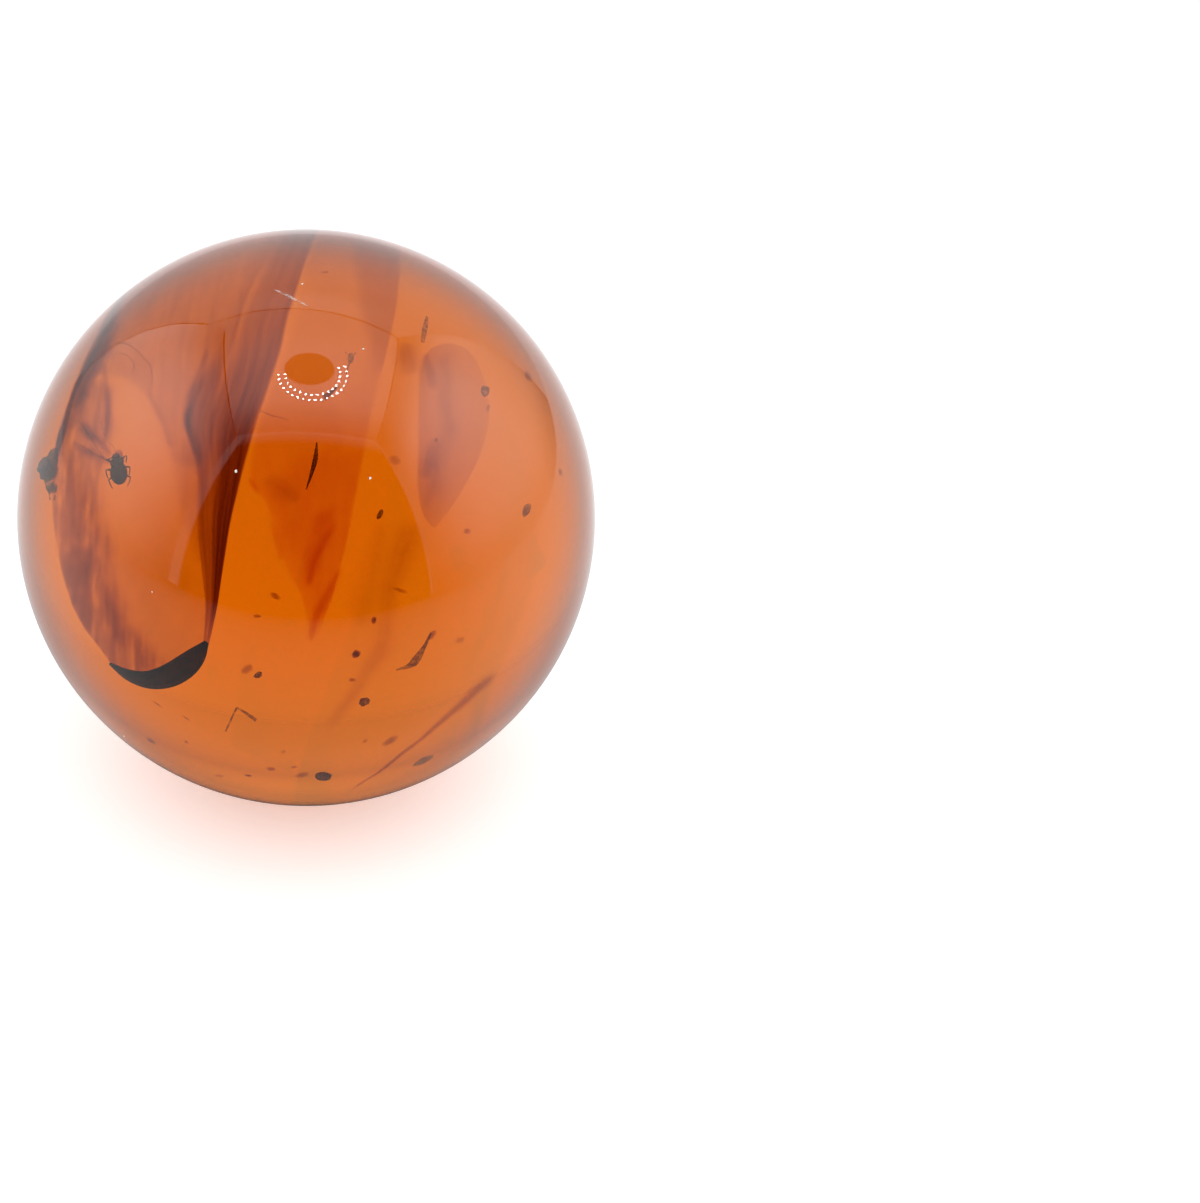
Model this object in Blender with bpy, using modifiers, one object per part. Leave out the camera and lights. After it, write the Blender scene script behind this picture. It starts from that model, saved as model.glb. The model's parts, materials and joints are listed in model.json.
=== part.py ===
"""A polished ball of amber with a small insect and plant debris sealed in it.

Metres, +Z up. The origin is the middle of the ball's small flat foot. The ball is parted in two along one plane,
which leans back from upright, so that each sealed thing lies in a pocket that opens on that plane. Everything
inside is placed in the plane's own frame: across, up the slope, and depth, which grows towards the front.
"""

import math

import bmesh
import bpy
import numpy as np
from mathutils import Matrix, Vector, noise

MM = 0.001

# The ball
BALL_RADIUS = 9.5 * MM
FACET = math.radians(7.5)
FOOT_RADIUS = BALL_RADIUS * math.sin(FACET)
CENTRE_HEIGHT = BALL_RADIUS * math.cos(FACET)

# The parting plane and the pockets
PLANE_LEAN = math.radians(33)
PARTING_GAP = 0.3 * MM
CLEARANCE = 0.3 * MM
POCKET_ROUNDING = 0.25 * MM
MERGE = 1e-7

# Where each sealed thing lies, in mm: across, up the slope, depth
INSECT_AT = (-4.41, 0.75, 1.5)
INSECT_TURN = 17
FRAGMENT_AT = (0.76, 3.75, 1.0)
FLAKE_AT = (-5.60, 0.45, -1.0)
FLAKE_THICKNESS = 0.22
CRESCENT_FLATNESS = 0.6

# The older flow, a tongue of darker resin: its outline across and up the slope, its back and front depth, and how
# round its rim is, in mm
FLOW_OUTLINE = [(-2.90, 6.70), (-4.00, 5.40), (-4.50, 3.60), (-4.85, 2.00), (-4.98, 0.60), (-4.95, -0.80),
                (-4.50, -2.20), (-3.75, -2.85), (-3.00, -2.90), (-2.35, -2.45), (-1.85, -1.60), (-1.60, -0.30),
                (-1.35, 1.60), (-0.95, 3.40), (-0.55, 5.40), (-0.60, 6.90), (-1.70, 7.15)]
FLOW_DEPTHS = (-1.70, -0.35)
FLOW_ROUNDING = 0.45

# The insect's body: centre along it, then its half width, half length and half height, in mm
INSECT_BODY = {
    "abdomen": (-0.07, (0.225, 0.285, 0.17)),
    "thorax": (0.19, (0.18, 0.14, 0.14)),
    "head": (0.32, (0.105, 0.09, 0.09)),
}
# Its legs and antennae: points from the body outwards, then the radius at the root and at the tip, in mm
INSECT_LIMBS = {
    "left_antenna": ([(-0.05, 0.34, 0.00), (-0.29, 0.33, 0.05), (-0.49, 0.70, 0.10), (-0.80, 1.31, 0.12)],
                     0.014, 0.026),
    "right_antenna": ([(0.03, 0.35, 0.00), (-0.05, 0.60, 0.10), (-0.25, 0.96, 0.14), (-0.30, 1.32, 0.16)],
                      0.014, 0.012),
    "left_front_leg": ([(-0.10, 0.20, -0.05), (-0.40, 0.42, 0.00), (-0.62, 0.60, -0.03), (-0.92, 0.87, -0.10)],
                       0.024, 0.010),
    "left_middle_leg": ([(-0.12, 0.02, -0.08), (-0.31, 0.07, -0.02), (-0.27, -0.14, -0.14)], 0.024, 0.012),
    "left_hind_leg": ([(-0.10, -0.13, -0.08), (-0.28, -0.18, -0.02), (-0.20, -0.42, -0.12)], 0.024, 0.012),
    "right_front_leg": ([(0.09, 0.20, -0.05), (0.27, 0.29, 0.00), (0.24, 0.12, -0.10)], 0.024, 0.012),
    "right_middle_leg": ([(0.12, 0.02, -0.08), (0.30, 0.00, -0.02), (0.27, -0.19, -0.14)], 0.024, 0.012),
    "right_hind_leg": ([(0.09, -0.14, -0.08), (0.27, -0.24, -0.02), (0.17, -0.44, -0.12)], 0.024, 0.012),
}

# The fragment: half width, half length and half height of its body, and its tail and legs, in mm
FRAGMENT_BODY = (0.075, 0.13, 0.06)
FRAGMENT_LIMBS = {
    "tail": ([(-0.01, -0.06, 0.00), (-0.04, -0.23, 0.02), (-0.08, -0.40, 0.00)], 0.026, 0.010),
    "left_leg": ([(-0.03, 0.03, 0.00), (-0.13, 0.14, 0.02)], 0.018, 0.010),
    "right_leg": ([(0.03, 0.04, 0.00), (0.12, 0.15, 0.02)], 0.018, 0.010),
}

# The flake's ragged outline about its own middle, in mm
FLAKE_OUTLINE = [(0.15, 0.57), (0.04, 0.52), (-0.03, 0.38), (-0.15, 0.36), (-0.27, 0.25), (-0.31, 0.08),
                 (-0.20, 0.02), (-0.16, -0.10), (-0.04, -0.12), (0.03, -0.30), (0.10, -0.36), (0.13, -0.52),
                 (0.24, -0.52), (0.27, -0.20), (0.25, 0.12), (0.20, 0.34)]

# Strands that taper: points in the plane's frame, and the radius at each point, in mm
STRANDS = {
    "debris_crescent": ([(-3.94, -3.37, -1), (-3.57, -3.55, -1), (-3.20, -3.62, -1), (-2.87, -3.57, -1),
                         (-2.55, -3.42, -1), (-2.27, -3.19, -1), (-2.07, -2.95, -1), (-1.92, -2.70, -1)],
                        (0.03, 0.12, 0.18, 0.23, 0.26, 0.25, 0.18, 0.05)),
    "splinter": ([(0.14, 1.71, 1.0), (0.14, 1.34, 1.0), (0.08, 1.00, 1.0), (-0.01, 0.63, 1.0)],
                 (0.015, 0.055, 0.040, 0.012)),
    "bent_hair": ([(-1.42, -4.75, -0.5), (-1.24, -4.25, -0.5), (-1.16, -4.19, -0.5), (-0.78, -4.42, -0.5)],
                  (0.020, 0.022, 0.022, 0.045)),
    "bark_shred": ([(2.33, -3.28, 0.5), (2.62, -3.17, 0.5), (2.76, -3.03, 0.5), (2.92, -2.72, 0.5),
                    (3.05, -2.37, 0.5)],
                   (0.015, 0.060, 0.105, 0.050, 0.025)),
    "straw_bit": ([(2.36, 4.83, 0.0), (2.30, 4.49, 0.0), (2.25, 4.15, 0.0)], (0.030, 0.065, 0.040)),
    "wedge_bit": ([(0.52, 3.05, 1.0), (0.38, 2.90, 1.0), (0.22, 2.74, 1.0)], (0.020, 0.050, 0.070)),
}

# Crumbs: place in the plane's frame, then half length, half width and half depth, in mm, and turn in degrees
CRUMBS = {
    "husk_flake": ((3.53, -6.01, 0.5), (0.30, 0.15, 0.06), 28),
    "crumb_1": ((0.87, -6.08, 0.0), (0.21, 0.16, 0.13), 4),
    "crumb_2": ((-0.76, -3.68, 1.0), (0.10, 0.07, 0.07), 35),
    "crumb_3": ((1.43, -3.74, -1.0), (0.12, 0.09, 0.08), 20),
    "crumb_4": ((3.49, 3.02, -1.0), (0.13, 0.10, 0.09), 70),
    "crumb_5": ((1.70, 0.22, 1.0), (0.13, 0.06, 0.06), 68),
    "crumb_6": ((4.80, 0.58, -0.5), (0.17, 0.09, 0.08), 62),
}
CRUMB_ROUGHNESS = 0.28

AMBER = (0.84, 0.21, 0.01, 1.0)
DARK_AMBER = (0.30, 0.05, 0.01, 1.0)
DARK_BROWN = (0.055, 0.030, 0.018, 1.0)
BARK_BROWN = (0.090, 0.045, 0.024, 1.0)
HUSK_BROWN = (0.180, 0.095, 0.050, 1.0)


def clear_scene():
    for obj in list(bpy.data.objects):
        bpy.data.objects.remove(obj, do_unlink=True)


def new_collection(name):
    collection = bpy.data.collections.new(name)
    bpy.context.scene.collection.children.link(collection)
    return collection


def make_material(name, colour, roughness, transmission=0.0):
    material = bpy.data.materials.new(name)
    material.use_nodes = True
    shader = material.node_tree.nodes["Principled BSDF"]
    shader.inputs["Base Color"].default_value = colour
    shader.inputs["Roughness"].default_value = roughness
    shader.inputs["Metallic"].default_value = 0.0
    shader.inputs["Transmission Weight"].default_value = transmission
    shader.inputs["IOR"].default_value = 1.54
    return material


def mesh_object(name, mesh, collection, material, parent=None):
    """Link a mesh as an object of the plane's frame, or of the world where it has no parent."""
    obj = bpy.data.objects.new(name, mesh)
    mesh.materials.clear()
    mesh.materials.append(material)
    obj.parent = parent
    collection.objects.link(obj)
    return obj


def as_cutter(obj):
    obj.hide_render = True
    obj.display_type = "WIRE"
    return obj


def add_boolean(obj, operation, other):
    boolean = obj.modifiers.new(f"{operation.lower()} {other.name}", "BOOLEAN")
    boolean.operation = operation
    boolean.solver = "EXACT"
    boolean.object = other


def smooth_path(points, values, steps):
    """Read a curve through the points, and a value along it, at even steps (Catmull-Rom)."""
    rows = np.column_stack([np.array(points, dtype=float), np.array(values, dtype=float)])
    padded = np.vstack([2 * rows[0] - rows[1], rows, 2 * rows[-1] - rows[-2]])
    read = []
    for start in range(len(rows) - 1):
        before, here, after, beyond = padded[start:start + 4]
        for part in np.arange(steps) / steps:
            read.append(0.5 * (2 * here + (after - before) * part
                               + (2 * before - 5 * here + 4 * after - beyond) * part ** 2
                               + (3 * here - 3 * after + beyond - before) * part ** 3))
    read.append(rows[-1])
    return np.array(read)


def strand_mesh(name, points, radii, steps=3, sides_level=2):
    """A round strand that swells and tapers, as a closed mesh. Points and radii are in mm."""
    path = smooth_path(points, radii, steps)
    curve = bpy.data.curves.new(name, "CURVE")
    curve.dimensions = "3D"
    curve.bevel_depth = MM
    curve.bevel_resolution = sides_level
    curve.use_fill_caps = True
    spline = curve.splines.new("POLY")
    spline.points.add(len(path) - 1)
    for point, (x, y, z, radius) in zip(spline.points, path):
        point.co = (x * MM, y * MM, z * MM, 1.0)
        point.radius = radius
    carrier = bpy.data.objects.new(name, curve)
    bpy.context.scene.collection.objects.link(carrier)
    evaluated = carrier.evaluated_get(bpy.context.evaluated_depsgraph_get())
    mesh = bpy.data.meshes.new_from_object(evaluated)
    bpy.data.objects.remove(carrier, do_unlink=True)
    bpy.data.curves.remove(curve)
    weld(mesh)
    return mesh


def weld(mesh):
    shape = bmesh.new()
    shape.from_mesh(mesh)
    bmesh.ops.remove_doubles(shape, verts=shape.verts, dist=MERGE)
    bmesh.ops.recalc_face_normals(shape, faces=shape.faces)
    shape.to_mesh(mesh)
    shape.free()


def ellipsoid_mesh(name, middle, half_sizes):
    """A ball stretched to three half sizes about a middle, both in mm."""
    shape = bmesh.new()
    place = Matrix.Translation(Vector(middle) * MM) @ Matrix.Diagonal((*(size * MM for size in half_sizes), 1))
    bmesh.ops.create_uvsphere(shape, u_segments=16, v_segments=10, radius=1.0, matrix=place)
    mesh = bpy.data.meshes.new(name)
    shape.to_mesh(mesh)
    shape.free()
    return mesh


def ball_mesh():
    """The whole ball, turned about Z from a profile that runs from the top down its outer side to the foot."""
    rings = int(round(math.pi / FACET))
    profile = bpy.data.meshes.new("ball_profile")
    points = [(BALL_RADIUS * math.sin(step * FACET), 0.0, CENTRE_HEIGHT + BALL_RADIUS * math.cos(step * FACET))
              for step in range(rings)]
    points.append((0.0, 0.0, 0.0))
    profile.from_pydata(points, [(step, step + 1) for step in range(rings)], [])
    turned = bpy.data.objects.new("ball_profile", profile)
    bpy.context.scene.collection.objects.link(turned)
    screw = turned.modifiers.new("turn", "SCREW")
    screw.axis = "Z"
    screw.steps = 2 * rings
    screw.render_steps = 2 * rings
    screw.use_merge_vertices = True
    screw.merge_threshold = 1e-6
    evaluated = turned.evaluated_get(bpy.context.evaluated_depsgraph_get())
    mesh = bpy.data.meshes.new_from_object(evaluated)
    bpy.data.objects.remove(turned, do_unlink=True)
    bpy.data.meshes.remove(profile)
    weld(mesh)
    return mesh


def make_half(name, side, plane, pockets, parts, cutters, material):
    """One half of the ball: side is 1 in front of the parting plane and -1 behind it."""
    half = mesh_object(name, ball_mesh(), parts, material)
    reach = 3 * BALL_RADIUS
    block = bmesh.new()
    middle = side * (PARTING_GAP / 2 - reach / 2)
    bmesh.ops.create_cube(block, size=reach, matrix=Matrix.Translation((0, 0, middle)))
    mesh = bpy.data.meshes.new(f"{name}_cutter")
    block.to_mesh(mesh)
    block.free()
    cutter = as_cutter(mesh_object(f"{name}_cutter", mesh, cutters, material, plane))
    add_boolean(half, "DIFFERENCE", cutter)
    for pocket in pockets:
        low, high = depth_range(pocket)
        if (side > 0 and high > PARTING_GAP / 2) or (side < 0 and low < -PARTING_GAP / 2):
            add_boolean(half, "DIFFERENCE", pocket)
    half.data.shade_smooth()
    half.data.set_sharp_from_angle(angle=math.radians(30))
    return half


def depth_range(obj):
    depths = [vertex.co.z + obj.location.z for vertex in obj.data.vertices]
    return min(depths), max(depths)


def make_pocket(thing, plane, cutters, material):
    """A box with rounded edges, CLEARANCE larger than the thing all round, that reaches the parting plane."""
    evaluated = thing.evaluated_get(bpy.context.evaluated_depsgraph_get())
    mesh = evaluated.to_mesh()
    corners = np.array([thing.matrix_local @ vertex.co for vertex in mesh.vertices])
    evaluated.to_mesh_clear()
    low = corners.min(axis=0) - CLEARANCE
    high = corners.max(axis=0) + CLEARANCE
    low[2] = min(low[2], 0.0)
    high[2] = max(high[2], 0.0)
    middle, size = (low + high) / 2, high - low
    box = bmesh.new()
    place = Matrix.Translation(Vector(middle)) @ Matrix.Diagonal((*size, 1))
    bmesh.ops.create_cube(box, size=1.0, matrix=place)
    bmesh.ops.bevel(box, geom=list(box.edges), offset=POCKET_ROUNDING, segments=2, profile=0.5, affect="EDGES")
    pocket_mesh = bpy.data.meshes.new(f"{thing.name}_pocket")
    box.to_mesh(pocket_mesh)
    box.free()
    return as_cutter(mesh_object(f"{thing.name}_pocket", pocket_mesh, cutters, material, plane))


def make_body(name, body, limbs, place, turn, plane, parts, cutters, material):
    """An insect's body with its limbs, grown together in one solid. The body is a list of (middle, half sizes)."""
    pieces = [ellipsoid_mesh(f"{name}_body_{index}", *lump) for index, lump in enumerate(body)]
    for limb, (points, root, tip) in limbs.items():
        radii = np.linspace(root, tip, len(points))
        pieces.append(strand_mesh(f"{name}_{limb}", points, radii, steps=2, sides_level=1))
    frame = Matrix.Translation(Vector(place) * MM) @ Matrix.Rotation(math.radians(turn), 4, "Z")
    whole = mesh_object(name, pieces[0], parts, material, plane)
    whole.matrix_local = frame
    for mesh in pieces[1:]:
        added = as_cutter(mesh_object(mesh.name, mesh, cutters, material, plane))
        added.matrix_local = frame
        add_boolean(whole, "UNION", added)
    return whole


def outline_mesh(name, outline, thickness, rounding=0.0, grow=0.0, smooth=False):
    """A plate cut from a flat outline, about depth 0. Sizes are in mm; grow moves the outline outwards."""
    curve = bpy.data.curves.new(name, "CURVE")
    curve.dimensions = "2D"
    curve.fill_mode = "BOTH"
    curve.resolution_u = 3
    curve.extrude = (thickness / 2 - rounding) * MM
    curve.bevel_depth = rounding * MM
    curve.bevel_resolution = 1
    curve.offset = (grow - rounding) * MM
    spline = curve.splines.new("BEZIER" if smooth else "POLY")
    if smooth:
        spline.bezier_points.add(len(outline) - 1)
        for point, (x, y) in zip(spline.bezier_points, outline):
            point.co = (x * MM, y * MM, 0.0)
            point.handle_left_type = "AUTO"
            point.handle_right_type = "AUTO"
    else:
        spline.points.add(len(outline) - 1)
        for point, (x, y) in zip(spline.points, outline):
            point.co = (x * MM, y * MM, 0.0, 1.0)
    spline.use_cyclic_u = True
    carrier = bpy.data.objects.new(name, curve)
    bpy.context.scene.collection.objects.link(carrier)
    evaluated = carrier.evaluated_get(bpy.context.evaluated_depsgraph_get())
    mesh = bpy.data.meshes.new_from_object(evaluated)
    bpy.data.objects.remove(carrier, do_unlink=True)
    bpy.data.curves.remove(curve)
    weld(mesh)
    return mesh


def make_flake(plane, parts, material):
    """A thin ragged plate."""
    flake = mesh_object("bark_flake", outline_mesh("bark_flake", FLAKE_OUTLINE, FLAKE_THICKNESS), parts, material,
                        plane)
    flake.location = Vector(FLAKE_AT) * MM
    return flake


def make_flow(plane, parts, material):
    """The older flow: a thick tongue with a round rim, behind the parting plane."""
    back, front = FLOW_DEPTHS
    mesh = outline_mesh("old_flow", FLOW_OUTLINE, front - back, FLOW_ROUNDING, smooth=True)
    flow = mesh_object("old_flow", mesh, parts, material, plane)
    flow.location.z = (front + back) / 2 * MM
    return flow


def make_flow_pocket(plane, cutters, material):
    """The same tongue, CLEARANCE larger all round, whose wall runs straight to the parting plane."""
    rounding, clearance = POCKET_ROUNDING / MM, CLEARANCE / MM
    back = FLOW_DEPTHS[0] - clearance
    front = rounding - PARTING_GAP / MM / 2
    mesh = outline_mesh("old_flow_pocket", FLOW_OUTLINE, front - back, rounding, clearance, smooth=True)
    pocket = as_cutter(mesh_object("old_flow_pocket", mesh, cutters, material, plane))
    pocket.location.z = (front + back) / 2 * MM
    return pocket


def make_crumb(name, place, half_sizes, turn, plane, parts, material):
    """A lump with uneven dents, stretched to its half sizes and turned in the plane."""
    shape = bmesh.new()
    bmesh.ops.create_icosphere(shape, subdivisions=2, radius=1.0)
    offset = Vector(place) * 3.7
    for vertex in shape.verts:
        vertex.co *= 1.0 + CRUMB_ROUGHNESS * noise.noise(vertex.co * 1.6 + offset)
    bmesh.ops.scale(shape, vec=Vector(half_sizes) * MM, verts=shape.verts)
    mesh = bpy.data.meshes.new(name)
    shape.to_mesh(mesh)
    shape.free()
    crumb = mesh_object(name, mesh, parts, material, plane)
    crumb.matrix_local = Matrix.Translation(Vector(place) * MM) @ Matrix.Rotation(math.radians(turn), 4, "Z")
    return crumb


def main():
    clear_scene()
    parts = new_collection("insect_in_amber")
    cutters = new_collection("cutters")

    plane = bpy.data.objects.new("parting_plane", None)
    plane.empty_display_size = BALL_RADIUS
    plane.location = (0.0, 0.0, CENTRE_HEIGHT)
    plane.rotation_euler = (math.pi / 2 - PLANE_LEAN, 0.0, 0.0)
    parts.objects.link(plane)

    amber = make_material("amber", AMBER, 0.03, transmission=1.0)
    chitin = make_material("insect_chitin", DARK_BROWN, 0.40)
    debris = make_material("dark_debris", DARK_BROWN, 0.75)
    bark = make_material("bark", BARK_BROWN, 0.85)
    husk = make_material("husk", HUSK_BROWN, 0.80)
    dark_amber = make_material("dark_amber", DARK_AMBER, 0.10, transmission=1.0)

    insect_lumps = [((0.0, along, 0.0), sizes) for along, sizes in INSECT_BODY.values()]
    things = [
        make_body("insect", insect_lumps, INSECT_LIMBS, INSECT_AT, INSECT_TURN, plane, parts, cutters, chitin),
        make_body("insect_fragment", [((0.0, 0.0, 0.0), FRAGMENT_BODY)], FRAGMENT_LIMBS, FRAGMENT_AT, 0.0,
                  plane, parts, cutters, chitin),
        make_flake(plane, parts, bark),
    ]
    for name, (points, radii) in STRANDS.items():
        mesh = strand_mesh(name, points, radii)
        if name == "debris_crescent":
            middle = points[0][2] * MM
            mesh.transform(Matrix.Translation((0, 0, middle)) @ Matrix.Diagonal((1, 1, CRESCENT_FLATNESS, 1))
                           @ Matrix.Translation((0, 0, -middle)))
        things.append(mesh_object(name, mesh, parts, debris, plane))
    for name, (place, half_sizes, turn) in CRUMBS.items():
        finish = husk if name == "husk_flake" else debris
        things.append(make_crumb(name, place, half_sizes, turn, plane, parts, finish))

    bpy.context.view_layer.update()
    pockets = [make_pocket(thing, plane, cutters, amber) for thing in things]
    make_flow(plane, parts, dark_amber)
    pockets.append(make_flow_pocket(plane, cutters, amber))
    bpy.context.view_layer.update()
    make_half("amber_front", 1, plane, pockets, parts, cutters, amber)
    make_half("amber_back", -1, plane, pockets, parts, cutters, amber)


main()
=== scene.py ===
"""A polished ball of clear orange amber with a small insect and plant debris in it, on a pale studio floor.

The look comes from three things. The ball is clear and takes its colour from how far light travels in it.
Thin skins of darker resin inside it, where one flow ran over another, make the bands and the tongue. A light
tent, which only reflections see, gives the pale veil on the polish.

Things inside the ball are placed in the frame of its parting plane, in millimetres: across, up the slope, and
depth towards the front.
"""

import json
import math

import bpy
import numpy as np
from mathutils import Matrix, Vector


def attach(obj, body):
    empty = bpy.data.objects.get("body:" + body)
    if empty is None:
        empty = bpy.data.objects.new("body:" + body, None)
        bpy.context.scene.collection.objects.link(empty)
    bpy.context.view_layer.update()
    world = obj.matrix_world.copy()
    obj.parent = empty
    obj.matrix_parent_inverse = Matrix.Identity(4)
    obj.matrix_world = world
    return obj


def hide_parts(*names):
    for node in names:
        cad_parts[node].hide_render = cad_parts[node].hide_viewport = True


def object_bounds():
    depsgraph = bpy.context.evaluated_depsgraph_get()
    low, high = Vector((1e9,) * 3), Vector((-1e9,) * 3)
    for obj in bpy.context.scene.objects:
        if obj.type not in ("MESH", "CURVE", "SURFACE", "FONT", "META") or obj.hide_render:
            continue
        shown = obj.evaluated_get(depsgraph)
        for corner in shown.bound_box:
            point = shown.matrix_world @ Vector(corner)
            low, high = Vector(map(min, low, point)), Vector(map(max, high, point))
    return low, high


bl_info = {
    "name": "Insect in amber",
    "version": (1, 0, 0),
    "blender": (4, 5, 0),
    "location": "View3D > Sidebar > Amber",
    "description": "A polished amber ball with an insect and plant debris sealed in it",
    "category": "Add Mesh",
}

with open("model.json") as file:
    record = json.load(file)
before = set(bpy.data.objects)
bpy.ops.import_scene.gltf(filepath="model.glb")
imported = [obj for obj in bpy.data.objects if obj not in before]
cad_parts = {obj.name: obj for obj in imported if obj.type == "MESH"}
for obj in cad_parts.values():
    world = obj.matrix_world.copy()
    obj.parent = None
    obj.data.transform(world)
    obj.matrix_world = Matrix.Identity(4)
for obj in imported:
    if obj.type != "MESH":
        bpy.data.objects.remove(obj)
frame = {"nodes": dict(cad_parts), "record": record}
CAD_BOX = [list(corner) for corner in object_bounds()]

MM = 0.001
BALL_RADIUS = (CAD_BOX[1][1] - CAD_BOX[0][1]) / 2
CENTRE_HEIGHT = CAD_BOX[1][2] - BALL_RADIUS
FOOT_RADIUS = math.sqrt(BALL_RADIUS ** 2 - CENTRE_HEIGHT ** 2)

PLANE_LEAN = math.radians(33)
CENTRE = np.array([0.0, 0.0, CENTRE_HEIGHT])
ACROSS = np.array([1.0, 0.0, 0.0])
UP_SLOPE = np.array([0.0, math.sin(PLANE_LEAN), math.cos(PLANE_LEAN)])
TO_FRONT = np.array([0.0, -math.cos(PLANE_LEAN), math.sin(PLANE_LEAN)])

# Sheets of darker resin. Each has the points of its left and right edge at matching stations, from its
# top down, in mm in the plane's frame. "dark" says how dark it is there: the share of green light that
# passes is exp(-dark).
DARK_BAND = {
    "left": [(-1.6, 7.4, -2.2), (-1.8, 6.0, -1.9), (-2.15, 4.7, -1.8), (-2.44, 3.7, -1.8),
        (-2.49, 3.11, -1.7), (-2.52, 2.51, -1.7), (-2.64, 2.12, -1.6), (-2.73, 1.71, -1.6),
        (-2.62, 1.34, -1.5), (-2.43, 0.86, -1.5), (-2.37, 0.37, -1.4), (-2.33, -0.23, -1.3),
        (-2.22, -0.83, -1.2), (-2.1, -1.43, -1.1), (-2.01, -1.94, -1.0), (-1.99, -2.46, -1.0),
        (-1.99, -2.98, -1.0)],
    "right": [(-0.25, 8.4, -0.8), (-0.42, 6.4, -0.6), (-0.62, 5.02, -0.5), (-0.78, 4.17, -0.5),
        (-0.86, 3.51, -0.4), (-1.01, 2.85, -0.3), (-1.11, 2.42, -0.2), (-1.22, 1.99, -0.1),
        (-1.31, 1.56, 0.0), (-1.42, 1.01, 0.0), (-1.51, 0.47, 0.0), (-1.61, -0.18, 0.0),
        (-1.67, -0.82, -0.1), (-1.72, -1.46, -0.2), (-1.76, -1.99, -0.3), (-1.83, -2.51, -0.5),
        (-1.91, -3.0, -0.8)],
    "dark": (1.4, 1.2, 1.2, 1.3, 1.6, 1.9, 2.1, 2.3, 2.5, 2.7, 2.8, 2.9, 3.1, 3.1, 2.9, 1.7, 1.3),
    "left_share": (0.1, 0.1, 0.1, 0.1, 0.2, 0.5, 0.5, 0.5, 0.45, 0.4, 0.4, 0.3, 0.3, 0.3, 0.4, 0.6, 0.8),
    "soft_left": (0.5, 0.5, 0.5, 0.45, 0.35, 0.1, 0.08, 0.06, 0.08, 0.12, 0.16, 0.14, 0.1, 0.08, 0.1, 0.1,
        0.1),
    "rim": (0.0, 0.0, 0.0, 0.0, 0.0, 0.1, 0.25, 0.5, 0.2, 0.1, 0.0, 0.0, 0.0, 0.0, 0.0, 0.0, 0.0),
}
TONGUE = {
    "left": [(-4.3, 6.9), (-4.75, 5.6), (-4.95, 4.5), (-5.0, 3.44), (-5.14, 2.47), (-5.31, 1.59),
        (-5.36, 0.95), (-5.36, 0.34), (-5.29, -0.27), (-5.19, -0.88), (-5.04, -1.49), (-4.84, -2.1),
        (-4.58, -2.62), (-4.26, -3.03), (-3.93, -3.45)],
    "right": [(-1.1, 7.2), (-1.3, 5.8), (-1.67, 4.41), (-1.83, 3.53), (-2.04, 2.68), (-2.11, 1.84),
        (-2.06, 1.23), (-2.01, 0.61), (-2.0, 0.0), (-1.97, -0.61), (-1.94, -1.22), (-1.91, -1.84),
        (-1.91, -2.36), (-1.93, -2.71), (-1.96, -3.14)],
    "dark": (0.1, 0.12, 0.15, 0.16, 0.16, 0.14, 0.13, 0.14, 0.17, 0.25, 0.35, 0.36, 0.36, 0.38, 0.4),
}
MIDDLE_ZONE = {
    "left": [(-0.2, 8.4), (-0.5, 6.4), (-0.65, 4.83), (-0.78, 3.83), (-1.0, 2.89), (-1.22, 1.99),
        (-1.34, 1.33), (-1.35, 0.69), (-1.0, 0.3), (-0.79, -0.11), (-0.6, -0.64), (-0.35, -1.16),
        (0.0, -1.69), (0.2, -2.24), (0.32, -2.8)],
    "right": [(2.2, 8.4), (2.05, 7.08), (1.88, 5.48), (1.69, 4.3), (1.5, 3.27), (1.32, 2.31),
        (1.23, 1.62), (1.15, 0.94), (1.09, 0.48), (1.04, 0.03), (0.97, -0.53), (0.86, -1.09),
        (0.75, -1.66), (0.59, -2.22), (0.41, -2.79)],
    "dark": (0.24, 0.22, 0.16, 0.14, 0.17, 0.3, 0.32, 0.3, 0.3, 0.28, 0.28, 0.26, 0.24, 0.15, 0.1),
}
RIGHT_LOBE = {
    "left": [(2.4, 3.82, -1.5), (2.07, 3.62, -1.5), (1.9, 3.26, -1.5), (1.89, 2.76, -1.5),
        (1.92, 2.15, -1.5), (1.97, 1.55, -1.5), (2.01, 0.94, -1.5), (2.09, 0.55, -1.5),
        (2.22, 0.23, -1.5), (2.42, 0.03, -1.5)],
    "right": [(2.6, 3.87, -1.4), (2.96, 3.78, -1.4), (3.24, 3.46, -1.4), (3.45, 2.97, -1.4),
        (3.52, 2.44, -1.4), (3.46, 1.91, -1.4), (3.28, 1.37, -1.4), (3.03, 0.83, -1.4), (2.79, 0.4, -1.4),
        (2.52, 0.03, -1.4)],
    "dark": (0.26, 0.33, 0.35, 0.36, 0.4, 0.44, 0.46, 0.42, 0.34, 0.22),
}

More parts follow.
